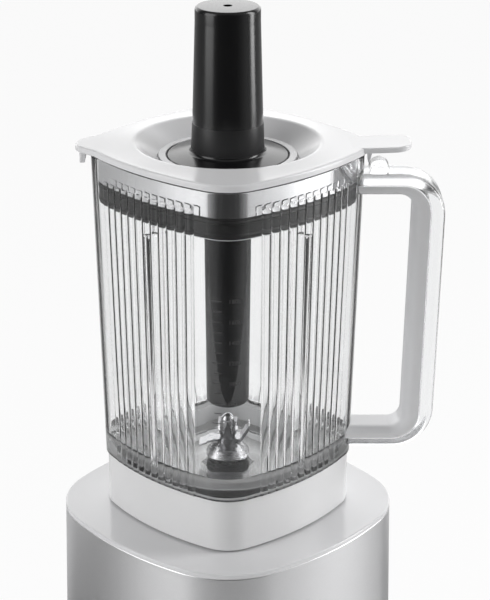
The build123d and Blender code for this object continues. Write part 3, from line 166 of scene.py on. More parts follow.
def makeStations(cornerSteps, plainSteps, reedSteps):
    stations = []
    for spin in range(4):
        stations += [(spin, "corner", -1 + 2 * i / cornerSteps) for i in range(cornerSteps)]
        stations += [(spin, "before", i / plainSteps) for i in range(plainSteps)]
        shares = [0.5 - 0.5 * math.cos(math.pi * i / reedSteps) for i in range(reedSteps)]  # closer at the grooves
        stations += [(spin, "reed", reed + share) for reed in range(reeds["count"]) for share in shares]
        stations += [(spin, "after", i / plainSteps) for i in range(plainSteps)]
    return stations


def outlinePoint(ring, station):
    spin, zone, along = station
    reach, back, sideRadius, turn = sideArc(*ring["square"])
    first = max(
        math.asin((reeds["margin"] + back) / sideRadius), turn + reeds["plainLeast"] * (math.pi / 4 - turn)
    )
    lift = 0
    if zone == "corner":
        angle = along * turn
        x, y = reach + ring["square"][1] * math.cos(angle), ring["square"][1] * math.sin(angle)
    else:
        if zone == "before":
            angle = turn + (first - turn) * along
        elif zone == "reed":
            angle = first + (math.pi / 2 - 2 * first) * along / reeds["count"]
            front = (0, 0, along, reeds["count"] - along)[spin] / reeds["count"]  # 1 beside the front corner
            crown = reeds["crown"] - (reeds["crown"] - reeds["crownFront"]) * front
            lift = ring.get("reed", 0) * (1 - abs(2 * (along % 1) - 1) ** crown)  # flat crowns, narrow grooves
            lift *= reeds["shallow"] + (1 - reeds["shallow"]) * front
            across = (along - reeds["count"] / 2) * reeds["pitch"]
            lift -= ring.get("rib", 0) * ribShape(across, ring.get("half", reeds["ribHalf"]))
        else:
            angle = math.pi / 2 - first + (first - turn) * along
        x = (sideRadius + lift) * math.cos(angle) - back
        y = (sideRadius + lift) * math.sin(angle) - back
    if "round" in ring:
        size = ring["round"] / math.hypot(x, y)
        x, y = x * size, y * size
    for quarter in range(spin):
        x, y = -y, x
    return x, y


def ribShape(across, half):
    return math.sqrt(max(0.0, 1 - (across / half) ** 4))  # a blunt rounded rib


def flatRings(*pairs):
    return [{"square": square, "z": height} for square, height in pairs]


def roundRings(square, *pairs):
    return [{"square": square, "round": radius, "z": height} for radius, height in pairs]


def stackRings(rings, stations):
    bm = bmesh.new()
    mark, loop, edges = startLoop(bm, len(stations))
    placeRing(loop, rings[0], stations, mark)
    for ring in rings[1:] + rings[:1]:  # the stack closes on its first ring
        loop, edges, faces = nextLoop(bm, edges)
        for face in faces:
            zone, along = stations[min(vert[mark] for vert in face.verts)][1:]
            # painted shade stripes: faces in the middle of each reed take the ring's stripe slot
            shadeStripe = zone == "reed" and reeds["shadeStripe"][0] < along % 1 < reeds["shadeStripe"][1]
            face.material_index = ring.get("shadeStripe" if shadeStripe else "slot", ring.get("slot", 0))
        placeRing(loop, ring, stations, mark)
    return bm


def placeRing(loop, ring, stations, mark):
    for vert in loop:
        x, y = outlinePoint(ring, stations[vert[mark]])
        vert.co = (x * mm, y * mm, ring["z"])


def grown(square, size):
    return (square[0] + size, square[1] + size, square[2])


# materials

def newMaterial(name, color, roughness, metallic=0.0):
    material = bpy.data.materials.new(name)
    material.use_nodes = True
    tree = material.node_tree
    shader = tree.nodes["Principled BSDF"]
    shader.inputs["Base Color"].default_value = (*color, 1)
    shader.inputs["Roughness"].default_value = roughness
    shader.inputs["Metallic"].default_value = metallic
    return material, tree, shader


def addNode(tree, kind, **values):
    node = tree.nodes.new(kind)
    for key, value in values.items():
        if key in node.inputs:
            node.inputs[key].default_value = value
        else:
            setattr(node, key, value)
    return node


def objectNoise(tree, scale, detail=4.0, stretch=(1, 1, 1)):
    place = addNode(tree, "ShaderNodeTexCoord")
    mapping = addNode(tree, "ShaderNodeMapping", Scale=stretch)
    noise = addNode(tree, "ShaderNodeTexNoise", Scale=scale, Detail=detail)
    tree.links.new(place.outputs["Object"], mapping.inputs["Vector"])
    tree.links.new(mapping.outputs["Vector"], noise.inputs["Vector"])
    return noise


def ramp(tree, source, low, high, start=0.3, end=0.7):
    node = addNode(tree, "ShaderNodeMapRange")
    node.inputs["From Min"].default_value = start
    node.inputs["From Max"].default_value = end
    node.inputs["To Min"].default_value = low
    node.inputs["To Max"].default_value = high
    tree.links.new(source, node.inputs["Value"])
    return node.outputs["Result"]


def blendColor(tree, source, low, high):
    mix = addNode(tree, "ShaderNodeMix", data_type="RGBA")
    colors = [socket for socket in mix.inputs if socket.type == "RGBA"]
    colors[0].default_value = (*low, 1)
    colors[1].default_value = (*high, 1)
    tree.links.new(source, mix.inputs["Factor"])
    return [socket for socket in mix.outputs if socket.type == "RGBA"][0]


def mathNode(tree, operation, *values, clamp=False):
    node = addNode(tree, "ShaderNodeMath", operation=operation, use_clamp=clamp)
    for socket, value in zip(node.inputs, values):
        if isinstance(value, (int, float)):
            socket.default_value = value
        else:
            tree.links.new(value, socket)
    return node.outputs[0]


def mixShaders(tree, factor, first, second):
    mix = addNode(tree, "ShaderNodeMixShader")
    for socket, source in zip(mix.inputs, (factor, first, second)):
        tree.links.new(source, socket)
    return mix.outputs["Shader"]


def grey(level, blue=0.0):
    return (level, level, level + blue)


def addBump(tree, shader, height, strength, distance=0.0002):
    bump = addNode(tree, "ShaderNodeBump", Strength=strength, Distance=distance)
    tree.links.new(height, bump.inputs["Height"])
    tree.links.new(bump.outputs["Normal"], shader.inputs["Normal"])


def mouldedPlastic(name, low, high, roughness, grain, grainScale, coat=0.0):
    material, tree, shader = newMaterial(name, low, roughness[0])
    cloud = objectNoise(tree, 18)
    tree.links.new(blendColor(tree, cloud.outputs["Fac"], low, high), shader.inputs["Base Color"])
    fine = objectNoise(tree, grainScale, 3)
    tree.links.new(ramp(tree, fine.outputs["Fac"], *roughness), shader.inputs["Roughness"])
    addBump(tree, shader, fine.outputs["Fac"], grain)
    shader.inputs["Coat Weight"].default_value = coat
    shader.inputs["Coat Roughness"].default_value = 0.03
    return material


def brushedMetal(name, low, high, roughness, stretch, scale=300, grain=0.05):
    material, tree, shader = newMaterial(name, low, roughness[0], 1.0)
    lines = objectNoise(tree, scale, 3, stretch)
    tree.links.new(blendColor(tree, lines.outputs["Fac"], low, high), shader.inputs["Base Color"])
    tree.links.new(ramp(tree, lines.outputs["Fac"], *roughness), shader.inputs["Roughness"])
    addBump(tree, shader, lines.outputs["Fac"], grain, 0.0001)
    return material


def clearPlastic(name, tint, roughness):
    material, tree, shader = newMaterial(name, tint, roughness)
    shader.inputs["Transmission Weight"].default_value = 1.0
    shader.inputs["IOR"].default_value = 1.5
    flow = objectNoise(tree, 9, 2, (1, 1, 0.3))
    addBump(tree, shader, flow.outputs["Fac"], 0.02, 0.0005)
    veil = addNode(tree, "ShaderNodeBsdfTransparent", Color=(*[0.94 * part for part in tint], 1))
    path = addNode(tree, "ShaderNodeLightPath")
    light = mathNode(tree, "MAXIMUM", path.outputs["Is Shadow Ray"], path.outputs["Is Diffuse Ray"])
    mixed = mixShaders(tree, light, shader.outputs["BSDF"], veil.outputs["BSDF"])  # lamps shine in through the wall
    tree.links.new(mixed, tree.nodes["Material Output"].inputs["Surface"])
    return material


tamperBlack = mouldedPlastic("tamper black", grey(0.006, 0.0005), grey(0.009, 0.0005), (0.17, 0.23), 0.02, 900)
tamperMatt = mouldedPlastic("tamper matt", grey(0.007, 0.0005), grey(0.010, 0.0005), (0.32, 0.40), 0.04, 900)
lidWhite = mouldedPlastic("lid white", grey(0.73, 0.01), grey(0.77, 0.01), (0.16, 0.22), 0.02, 700)
ringGrey = mouldedPlastic("ring grey", grey(0.60, 0.01), grey(0.65, 0.01), (0.20, 0.28), 0.02, 700)
collarWhite = mouldedPlastic("collar white", grey(0.74, 0.005), grey(0.78, 0.005), (0.14, 0.20), 0.02, 700)
deckGrey = mouldedPlastic("deck grey", grey(0.70, 0.01), grey(0.74, 0.01), (0.10, 0.16), 0.015, 700)
gripGrey = mouldedPlastic("grip grey", grey(0.78, 0.01), grey(0.82, 0.01), (0.28, 0.36), 0.03, 900)
sealBlack = mouldedPlastic("seal black", grey(0.005), grey(0.009), (0.52, 0.64), 0.05, 900)
footRubber = mouldedPlastic("foot rubber", grey(0.018), grey(0.030), (0.60, 0.75), 0.15, 900)
panDark = mouldedPlastic("pan dark grey", grey(0.055, 0.003), grey(0.070, 0.003), (0.45, 0.55), 0.20, 1500)
panelBlack = mouldedPlastic("panel black", grey(0.014, 0.001), grey(0.020, 0.001), (0.34, 0.42), 0.03, 900)
innerBlack = mouldedPlastic("inner black", grey(0.020, 0.001), grey(0.032, 0.001), (0.40, 0.50), 0.08, 900)
boardGreen = mouldedPlastic("board green", (0.02, 0.10, 0.04), (0.03, 0.14, 0.06), (0.25, 0.35), 0.05, 600)
brushCarbon = mouldedPlastic("brush carbon", grey(0.020), grey(0.045), (0.5, 0.7), 0.2, 900)
shellSatin = brushedMetal("shell satin", grey(0.85, 0.01), grey(0.91, 0.01), (0.35, 0.40), (1, 1, 1), 900)
bandSteel = brushedMetal("band steel", grey(0.70, 0.01), grey(0.80, 0.01), (0.06, 0.12), (1, 1, 0.02), 900)
bladeSteel = brushedMetal("blade steel", grey(0.32, 0.01), grey(0.40, 0.01), (0.10, 0.16), (1, 0.1, 1), 500)
turnedSteel = brushedMetal("turned steel", grey(0.40, 0.01), grey(0.50, 0.01), (0.09, 0.16), (1, 1, 8), 200)
housingSteel = brushedMetal("housing steel", grey(0.42, 0.01), grey(0.52, 0.01), (0.22, 0.30), (1, 1, 8), 200)
knobSilver = brushedMetal("knob silver", grey(0.60, 0.01), grey(0.68, 0.01), (0.22, 0.30), (1, 8, 1), 200)
castGrey = brushedMetal("cast grey", grey(0.36), grey(0.48), (0.45, 0.60), (1, 1, 1), 250, 0.2)
coreIron = brushedMetal("core iron", grey(0.16, 0.01), grey(0.24, 0.01), (0.40, 0.55), (0.2, 0.2, 60), 60, 0.4)
coilCopper = brushedMetal(
    "coil copper", (0.42, 0.16, 0.07), (0.60, 0.27, 0.12), (0.28, 0.40), (0.3, 0.3, 40), 60, 0.5
)
holderBrass = brushedMetal("holder brass", (0.56, 0.40, 0.16), (0.66, 0.48, 0.22), (0.25, 0.35), (1, 1, 4), 200)
jugClear = clearPlastic("jug clear", (0.985, 0.988, 0.99), 0.0)
jugBowl = clearPlastic("jug bowl", (0.985, 0.988, 0.99), 0.13)
# painted shade: these black and grey faces under the jug's foot and in the groove under its floor stand for the dark
# inside of the collar, seen through the clear floor
footShadeBlack = mouldedPlastic("foot painted shade black", grey(0.030), grey(0.040), (0.45, 0.55), 0.05, 900)
footShadeGrey = mouldedPlastic("foot painted shade grey", grey(0.30), grey(0.35), (0.45, 0.55), 0.05, 900)
handleClear = clearPlastic("handle clear", (0.955, 0.96, 0.965), 0.16)
scaleGrey = mouldedPlastic("scale grey", grey(0.06), grey(0.08), (0.45, 0.55), 0.02, 900)
print("materials made")


# tamper: rod, resting flange and grip, then the cap

tamper = {
    "rodEnd": 12.2, "rodTop": 14.3, "endRound": 5.0, "flange": 35.7, "flangeSunk": 2.2, "flangeThick": 3.7,
    "flangeEdge": [(-0.6, 0.0), (0.0, 0.6), (0.0, 1.4), (-0.5, 2.0)], "flangeCrown": [(30.0, 0.9), (25.4, 0.2)],
    "collarFoot": 21.5, "collarTop": 20.95, "collarHeight": 18.0, "fillet": 2.2, "gripFoot": 20.7, "gripTop": 19.0,
    "shoulder": 1.6, "capHole": 2.5, "holeDeep": 6.0,
}


def makeTamper():
    low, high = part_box("tamper_body")
    capLow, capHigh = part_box("tamper_cap")
    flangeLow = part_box("lid_ring")[1].z - tamper["flangeSunk"] * mm
    flangeTop = flangeLow + tamper["flangeThick"] * mm
    step = flangeTop + tamper["collarHeight"] * mm
    size = tamper["endRound"]
    points = [(0, low.z)]
    points += [(x, low.z + z * mm) for x, z in arcPoints((tamper["rodEnd"] - size, size), size, -90, 0, 8)]
    points.append((tamper["rodTop"], flangeLow))
    points += [(tamper["flange"] + x, flangeLow + z * mm) for x, z in tamper["flangeEdge"]]
    points += [(x, flangeTop - drop * mm) for x, drop in tamper["flangeCrown"]]
    size = tamper["fillet"]
    foot = arcPoints((tamper["collarFoot"] + size, size), size, 270, 180, 6)
    points += [(x, flangeTop + z * mm) for x, z in foot]
    points += [(tamper["collarTop"], step - 0.3 * mm), (tamper["collarTop"] - 0.1, step)]
    points += [(tamper["gripFoot"], step + 0.1 * mm), (tamper["gripTop"], capLow.z), (0, capLow.z)]
    rod = meshPiece("tamperRod", turnProfile(points), "tamper", tamperBlack, ["tamper_body"], 28)
    rod.data.materials.append(tamperMatt)
    for face in rod.data.polygons:
        if flangeTop + size * mm < face.center.z < step:  # the collar under the grip
            face.material_index = 1
    disc = tamper["gripTop"] - tamper["shoulder"]
    top = capHigh.z
    rim = [(tamper["gripTop"], top - 2.4 * mm), (tamper["gripTop"] - 0.25, top - 1.2 * mm)]
    rim += [(disc + 0.5, top - 0.25 * mm), (disc, top)]
    holeFoot = top - tamper["holeDeep"] * mm
    hole = [(tamper["capHole"] + 0.3, top), (tamper["capHole"], top - 0.3 * mm), (tamper["capHole"], holeFoot)]
    points = [(tamper["gripTop"], capLow.z)] + rim + hole + [(0, holeFoot)]
    meshPiece("tamperTop", turnProfile(points), "tamper", tamperBlack, ["tamper_cap"], 40)


makeTamper()
print("tamper made")


# lid: plate with dish, plug, tab, lip and hook, then ring, band and seal

lid = {
    "edge": (82.3, 27.1, 4.5), "thick": 4.1, "edgeRound": 1.4, "gap": 0.3, "roof": 2.0, "crown": 66.0,
    "plug": (74.4, 20.0, 4.8), "plugWall": 2.4, "plugPast": 0.7, "opening": 38.0, "ledge": 1.6,
    "dishTop": 54.7, "dishRise": 1.2, "dishDeep": 9.4, "dishFoot": 41.5, "dishWall": 2.5,
    "ring": {"bore": 30.0, "neck": 37.85, "inner": 36.35, "outer": 40.7, "rise": 1.5, "seat": 2.5, "round": 0.45},
    "tab": {
        "start": 60.0, "half": 13.0, "low": 0.3, "high": 3.7, "corner": 9.0, "round": 0.9, "bend": 81.5, "tilt": 4.0,
    },
    "lip": {"end": -72.0, "half": 6.0, "low": 0.02, "high": 4.08, "corner": 4.2, "round": 1.2, "root": 3.53},
    "hook": {"inset": 2.6, "thick": 3.2, "half": 8.0, "low": -6.0, "high": 1.5, "corner": 1.0, "round": 0.6},
    "latch": {
        "start": 81.8, "end": 85.0, "half": 5.0, "low": -7.4, "high": 2.0, "corner": 1.0, "round": 0.6,
        "back": 82.1, "thinner": 0.7, "narrower": 0.35,
    },
    "band": {"proud": 0.8, "bevel": 0.3},
    "seal": {"core": 0.6, "lips": [(0.6, 0), (1.2, 0.4), (1.5, 1.1), (1.2, 1.8), (0.6, 2.2)], "places": (1.0, 3.2)},
}


def lidUnder():
    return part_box("jug_body")[1].z + lid["gap"] * mm


def makeLid():
    under = lidUnder()
    top = under + lid["thick"] * mm
    roof = under - lid["roof"] * mm
    dishTop = top + lid["dishRise"] * mm
    dishFoot = dishTop - lid["dishDeep"] * mm
    ledge = dishFoot - lid["ledge"] * mm
    dishUnder = dishFoot - lid["dishWall"] * mm
    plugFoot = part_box("lid_gasket")[0].z - lid["plugPast"] * mm
    edge, plug = lid["edge"], lid["plug"]
    inner = grown(plug, -lid["plugWall"])
    size = lid["edgeRound"]
    rings = flatRings(
        (inner, roof), (inner, plugFoot), (plug, plugFoot), (plug, under), (grown(edge, -0.3), under),
        (edge, under + 0.3 * mm), (edge, top - size * mm),
        *[(grown(edge, x), top + z * mm) for x, z in arcPoints((-size, -size), size, 20, 90, 4)],
    )
    rings += roundRings(
        edge, (lid["crown"], top - 0.1 * mm), (lid["dishTop"] + 2.0, dishTop - 0.06 * mm),
        (lid["dishTop"] + 0.8, dishTop), (lid["dishTop"] - 0.3, dishTop - 0.25 * mm),
        (lid["dishTop"] - 1.2, dishTop - 0.85 * mm),
        (lid["dishFoot"] + 0.8, dishFoot + 0.45 * mm), (lid["dishFoot"], dishFoot), (lid["dishFoot"] - 0.05, ledge),
        (lid["opening"], ledge), (lid["opening"], dishUnder), (lid["dishFoot"], dishUnder), (lid["dishTop"], roof),
    )
    return stackRings(rings, makeStations(24, 4, 3))


def roundedSlab(bm, low, high, cornerRadius, edgeRound, ends, root=1.0):
    made = bmesh.ops.create_cube(bm, size=1)["verts"]
    middle = (Vector(low) + Vector(high)) / 2
    size = Vector(high) - Vector(low)
    bmesh.ops.scale(bm, verts=made, vec=size)
    bmesh.ops.translate(bm, verts=made, vec=middle)
    for vert in made:
        if vert.co.x * ends < middle.x * ends:  # the end inside the lid
            vert.co.y *= root
    upright = [
        edge for edge in edgesOf(made) if not isLevel(edge) and edge.verts[0].co.x * ends > middle.x * ends
    ]
    bent = bevelEdges(bm, upright, cornerRadius, 10)
    verts = {vert for face in bent for vert in face.verts} | {vert for vert in made if vert.is_valid}
    rims = [edge for edge in edgesOf(verts) if isLevel(edge) and edge.calc_face_angle(0) > 1.2]
    bevelEdges(bm, rims, edgeRound, 4)


def addLidGrips(bm):
    under = lidUnder()
    low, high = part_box("lid_plate")
    tab, lip, hook, latch = lid["tab"], lid["lip"], lid["hook"], lid["latch"]

    def slab(start, end, part, ends):
        near = (start, -part["half"] * mm, under + part["low"] * mm)
        far = (end, part["half"] * mm, under + part["high"] * mm)
        roundedSlab(bm, near, far, part["corner"] * mm, part["round"] * mm, ends, part.get("root", 1.0))

    slab(tab["start"] * mm, high.x, tab, 1)
    for vert in bm.verts:  # the tab rises towards its tip
        past = vert.co.x - tab["bend"] * mm
        if past > 0:
            vert.co.z += past * math.tan(math.radians(tab["tilt"]))
    slab(low.x, lip["end"] * mm, lip, -1)
    start = low.x + hook["inset"] * mm
    slab(start, start + hook["thick"] * mm, hook, -1)
    kept = set(bm.verts)
    slab(latch["start"] * mm, latch["end"] * mm, latch, 1)
    for vert in set(bm.verts) - kept:  # the latch thins towards its foot
        share = max(0, (vert.co.z - under) / (latch["low"] * mm))
        vert.co.x += (latch["back"] * mm - vert.co.x) * latch["thinner"] * share
        vert.co.y *= 1 - latch["narrower"] * share


def makeLidRing():
    ring, size = lid["ring"], lid["ring"]["round"]
    low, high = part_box("lid_ring")
    foot = high.z - (ring["rise"] + lid["ledge"]) * mm + 0.1 * mm
    points = [(ring["bore"], low.z), (ring["neck"], low.z), (ring["neck"], foot), (ring["outer"], foot)]
    points += [(x, high.z + z * mm) for x, z in arcPoints((ring["outer"] - size, -size), size, 0, 90, 5)]
    points += [(x, high.z + z * mm) for x, z in arcPoints((ring["inner"] + size, -size), size, 90, 180, 5)]
    seat = high.z - ring["seat"] * mm
    points += [(ring["inner"], seat), (ring["bore"], seat), (ring["bore"], low.z)]
    meshPiece("lidRing", turnProfile(points), "lid", ringGrey, ["lid_ring"], 30)


def makeLidParts():
    bm = makeLid()
    addLidGrips(bm)
    meshPiece("lidPlate", bm, "lid", lidWhite, ["lid_plate"], 38)
    makeLidRing()
    plug = lid["plug"]
    low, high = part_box("plug_band")
    stations = makeStations(24, 4, 3)
    proud, bevel = lid["band"]["proud"], lid["band"]["bevel"]
    outer = grown(plug, proud)
    bevelled = grown(plug, proud - bevel)
    rings = flatRings(
        (plug, low.z), (bevelled, low.z), (outer, low.z + bevel * mm),
        (outer, high.z - bevel * mm), (bevelled, high.z), (plug, high.z),
    )
    meshPiece("plugBand", stackRings(rings, stations), "lid", bandSteel, ["plug_band"])
    low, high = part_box("lid_gasket")
    core = grown(plug, lid["seal"]["core"])
    above, below = lid["seal"]["places"]
    rows = [(plug, low.z), (core, low.z)]
    for foot in (low.z + above * mm, high.z - below * mm):
        rows += [(grown(plug, out), foot + rise * mm) for out, rise in lid["seal"]["lips"]]
    rows += [(core, high.z), (plug, high.z)]
    meshPiece("lidSeal", stackRings(flatRings(*rows), stations), "lid", sealBlack, ["lid_gasket"])


makeLidParts()
print("lid made")


# clear jug

jug = {
    "foot": (75.0, 23.0, 4.8), "rim": (80.2, 24.9, 4.8), "sideFoot": 33.8, "sideTop": 226.3, "rimTop": 225.4,
    "wall": 3.0, "innerRound": 0.6, "reed": 0.9, "reedTop": 214.0, "levels": (80, 130, 180),
    "rib": 7.0, "ribTop": 190.2, "ribLevels": (130, 80),
    "floor": (46.0, 17.0, 4.0), "floorTop": 27.0, "bowlTop": 48.0, "bowlSteps": 16, "slope": 0.8, "ribFade": 2.2,
    "neck": (66.0, 18.0, 4.0), "neckFoot": 20.0, "neckRim": 4.5, "hole": 10.1,
    "groove": [(42.0, 0.0), (46.0, 5.5), (52.6, 0.0), (53.8, 0.0), (66.0, 0.0)],
    "paints": [(1, 1), (4, 4), (2, 3), (4, 4), (3, 3)],  # each groove face's slot, and its stripes' slot below the reeds; slots 2 and 3 are painted shade
}


def jugSquare(height, inset=0.0):
    share = (height - jug["sideFoot"]) / (jug["sideTop"] - jug["sideFoot"])
    foot, rim = jug["foot"], jug["rim"]
    return (
        foot[0] + (rim[0] - foot[0]) * share - inset, foot[1] + (rim[1] - foot[1]) * share - inset, foot[2]
    )


def bowlRings(start, rib):
    rings = []
    steps = jug["bowlSteps"]
    for step in range(1, steps + 1):  # the inside goes down to the floor in a slope, a little hollow
        share, turn = step / steps, math.pi / 2 * step / steps
        inward = 1 - math.cos(turn) + (share - 1 + math.cos(turn)) * jug["slope"]
        rise = 1 - math.sin(turn) + (math.sin(turn) - share) * jug["slope"]
        square = [big + (small - big) * inward for big, small in zip(start["square"], jug["floor"])]
        height = jug["floorTop"] + (jug["bowlTop"] - jug["floorTop"]) * rise
        fade = max(0, 1 - jug["ribFade"] * inward)
        rings.append({"square": tuple(square), "z": deckTop + height * mm, "rib": rib * fade, "slot": 1})
    return rings


def makeJug():
    stations = makeStations(28, 6, 14)
    wall, reed, reedTop, rimTop = jug["wall"], jug["reed"], jug["reedTop"], jug["rimTop"]

    def outside(height, reed=0.0, inset=0.0):
        return {"square": jugSquare(height, inset), "z": deckTop + height * mm, "reed": reed}

    def inside(height, rib=0.0):
        corner, radius, bulge = jugSquare(height)
        easy = wall - jug["innerRound"]  # corners nearly as round inside, so they don't shrink what is behind
        square = (corner - wall, radius - jug["innerRound"], bulge - easy * (1 - math.sqrt(0.5)))
        return {"square": square, "z": deckTop + height * mm, "rib": rib}

    neck, neckFoot = jug["neck"], jug["neckFoot"]
    neckTop = deckTop + jug["sideFoot"] * mm
    hole = {"square": neck, "round": jug["hole"], "z": deckTop + neckFoot * mm, "slot": 1}
    rings = [hole]
    for (corner, rise), (slot, shadeStripe) in zip(jug["groove"], jug["paints"]):  # a groove under the floor, with painted shade on its dark faces
        square = tuple(part * corner / neck[0] for part in neck)
        rings.append({"square": square, "z": deckTop + (neckFoot + rise) * mm, "slot": slot, "shadeStripe": shadeStripe})
    rings += [
        # under the foot: the neck's rim is painted shade in grey, then black with grey stripes
        {"square": neck, "z": neckTop, "slot": 4}, {"square": grown(neck, jug["neckRim"]), "z": neckTop, "slot": 3},
        outside(jug["sideFoot"], 0.8 * reed, 0.3) | {"slot": 2, "shadeStripe": 3}, outside(jug["sideFoot"] + 0.4, reed),
        *[outside(height, reed) for height in jug["levels"]],
        outside(reedTop - 1.6, reed), outside(reedTop - 0.6, 0.6 * reed), outside(reedTop),
        outside(rimTop - 0.7), outside(rimTop - 0.2, 0, 0.2), outside(rimTop, 0, 0.7),
        outside(rimTop, 0, 2.3), outside(rimTop - 0.2, 0, 2.8),
    ]
    rib, half, ribTop = jug["rib"], reeds["ribHalf"], jug["ribTop"]
    rings += [inside(rimTop - 0.7), inside(ribTop + 0.1), inside(ribTop + 0.05, 0.2)]
    for share in (0.02, 0.12, 0.3, 0.6, 1.0):  # the ribs end in a half round
        rings.append(inside(ribTop - share * half, rib) | {"half": half * math.sqrt(1 - (1 - share) ** 2)})
    rings += [inside(height, rib) for height in (*jug["ribLevels"], jug["bowlTop"])]
    rings += bowlRings(inside(jug["bowlTop"]), rib)
    rings.append(hole | {"z": deckTop + jug["floorTop"] * mm})
    wallPiece = meshPiece("jugWall", stackRings(rings, stations), "jug", jugClear, ["jug_body"], 32)
    for material in (jugBowl, footShadeBlack, footShadeGrey, collarWhite):  # slots 1 to 4; the bowl is a little hazy; slots 2 and 3 are painted shade under the foot and in the groove
        wallPiece.data.materials.append(material)


volume = {
    "most": 1800, "part": 200, "top": 161.3, "step": 12.7, "count": 7, "tick": 5.4, "shorter": 1.2, "line": 0.35,
    "ticksEnd": -3.5, "lettersStart": 0.3, "letter": 3.6, "letterMiddle": 0.35, "off": 0.01, "ink": 0.05,
}


def makeVolumeScale():
    bm = bmesh.new()
    for number in range(volume["count"]):
        height = volume["top"] - number * volume["step"]
        for half in (0, 1):  # a long tick, and a short one half a step below
            length = volume["tick"] - volume["shorter"] * half
            bar = bmesh.ops.create_grid(bm, x_segments=8, y_segments=1, size=0.5)["verts"]
            bmesh.ops.scale(bm, verts=bar, vec=(length, volume["line"], 1))
            middle = volume["ticksEnd"] - length / 2
            bmesh.ops.translate(bm, verts=bar, vec=(middle, height - half * volume["step"] / 2, 0))
        words = bpy.data.curves.new("volume", "FONT")
        words.body = str(volume["most"] - volume["part"] * number)
        words.size = volume["letter"]
        words.resolution_u = 3
        holder = bpy.data.objects.new("volume", words)
        letters = bpy.data.meshes.new_from_object(holder)
        kept = set(bm.verts)
        bm.from_mesh(letters)
        place = (volume["lettersStart"], height - volume["letterMiddle"] * volume["letter"], 0)
        bmesh.ops.translate(bm, verts=list(set(bm.verts) - kept), vec=place)
        bpy.data.objects.remove(holder)
        bpy.data.curves.remove(words)
        bpy.data.meshes.remove(letters)
    raised = bmesh.ops.extrude_face_region(bm, geom=bm.faces[:])["geom"]
    bmesh.ops.translate(bm, verts=only(raised, BMVert), vec=(0, 0, volume["ink"]))
    for vert in bm.verts:  # laid on the jug's front corner
        corner, radius = jugSquare(vert.co.y)[:2]
        front = corner - radius + math.sqrt(radius**2 - vert.co.x**2) + volume["off"] + vert.co.z
        vert.co = (vert.co.x * mm, -front * mm, deckTop + vert.co.y * mm)
    meshPiece("volumeScale", bm, "jug", scaleGrey)


makeJug()
makeVolumeScale()
print("jug made")


# handle: clear outside, grey inside, swept side by side round the loop

handle = {
    "top": 214.0, "bottom": 39.7, "reachTop": 128.4, "reachBottom": 124.6, "half": 13.0,
    "outerRound": 25.0, "jointRound": 16.3, "windowRound": 8.0, "shellSide": 8.7, "shellArm": 6.3, "shellRound": 5.0,
    "gripSide": 10.3, "gripArm": 6.5, "gripRound": 6.4, "bevel": 0.3, "seam": 0.2, "gap": 0.05,
    "boss": {"reach": 89.0, "round": 6.0, "width": 18.0, "edge": 1.2},
}


def loopLine(sideInset, armInset, radius, cornerSteps=16):
    low, high = handle["bottom"] + armInset, handle["top"] - armInset
    lean = (handle["reachTop"] - handle["reachBottom"]) / (handle["top"] - handle["bottom"])
    tilt = math.degrees(math.atan(lean))

    def side(height):
        return handle["reachBottom"] + lean * (height - handle["bottom"]) - sideInset

    cut = radius * math.tan(math.radians((90 + tilt) / 2))
    upper = (side(high) - cut, high - radius)
    cut = radius * math.tan(math.radians((90 - tilt) / 2))
    lower = (side(low) - cut, low + radius)
    points = [(jugCorner(high), high)]
    points += arcPoints(upper, radius, 90, -tilt, cornerSteps)
    points += arcPoints(lower, radius, -tilt, -90, cornerSteps)
    points += [(jugCorner(low), low)]
    return points


def jugCorner(height, across=0.0):
    corner, radius = jugSquare(height)[:2]
    return corner - radius + math.sqrt(radius**2 - across**2) + handle["gap"]  # where an arm meets the round corner


def closeEnd(bm, edges, mark, count):
    near = [edge for edge in edges if all(vert[mark] < count // 2 for vert in edge.verts)]
    far = [edge for edge in edges if all(vert[mark] >= count // 2 for vert in edge.verts)]
    cap = bmesh.ops.bridge_loops(bm, edges=near + far)["faces"]
    across = [
        edge for edge in {edge for face in cap for edge in face.edges}
        if len({vert[mark] < count // 2 for vert in edge.verts}) == 2
    ]
    added = bmesh.ops.subdivide_edges(bm, edges=across, cuts=9, use_grid_fill=True)["geom_inner"]
    rim = {vert for edge in near + far for vert in edge.verts}
    for vert in rim | set(only(added, BMVert)):
        vert.co.x = jugCorner((vert.co.z - deckTop) / mm, vert.co.y / mm) * mm


def sweepBetween(innerLine, outerLine, section):
    bm = bmesh.new()
    mark, loop, edges = startLoop(bm, len(section))
    starts = edges
    for number, (inner, outer) in enumerate(zip(innerLine, outerLine)):
        if number:
            loop, edges = nextLoop(bm, edges)[:2]
        span = Vector((outer[0] - inner[0], outer[1] - inner[1]))
        for vert in loop:
            share, inset, across = section[vert[mark]]
            spot = Vector(inner) + span * share + span.normalized() * inset
            vert.co = (spot.x * mm, across * mm, deckTop + spot.y * mm)
    for end in (starts, edges):
        closeEnd(bm, end, mark, len(section))
    return bm


def addLatchBoss(bm):
    boss = handle["boss"]
    radius = boss["round"] * mm
    made = bmesh.ops.create_cone(
        bm, cap_ends=True, segments=48, radius1=radius, radius2=radius, depth=boss["width"] * mm
    )["verts"]
    rims = [edge for edge in edgesOf(made) if isLevel(edge)]
    bent = bevelEdges(bm, rims, boss["edge"] * mm, 4)
    made = list({vert for face in bent for vert in face.verts} | {vert for vert in made if vert.is_valid})
    bmesh.ops.rotate(bm, verts=made, matrix=Matrix.Rotation(math.pi / 2, 3, "X"))
    foot = deckTop + handle["top"] * mm
    bmesh.ops.translate(bm, verts=made, vec=(boss["reach"] * mm, 0, foot))
    parts = made + edgesOf(made) + list({face for vert in made for face in vert.link_faces})
    cut = bmesh.ops.bisect_plane(
        bm, geom=parts, plane_co=(0, 0, foot + 0.02 * mm), plane_no=(0, 0, 1), clear_inner=True
    )["geom_cut"]
    bmesh.ops.holes_fill(bm, edges=only(cut, BMEdge), sides=0)


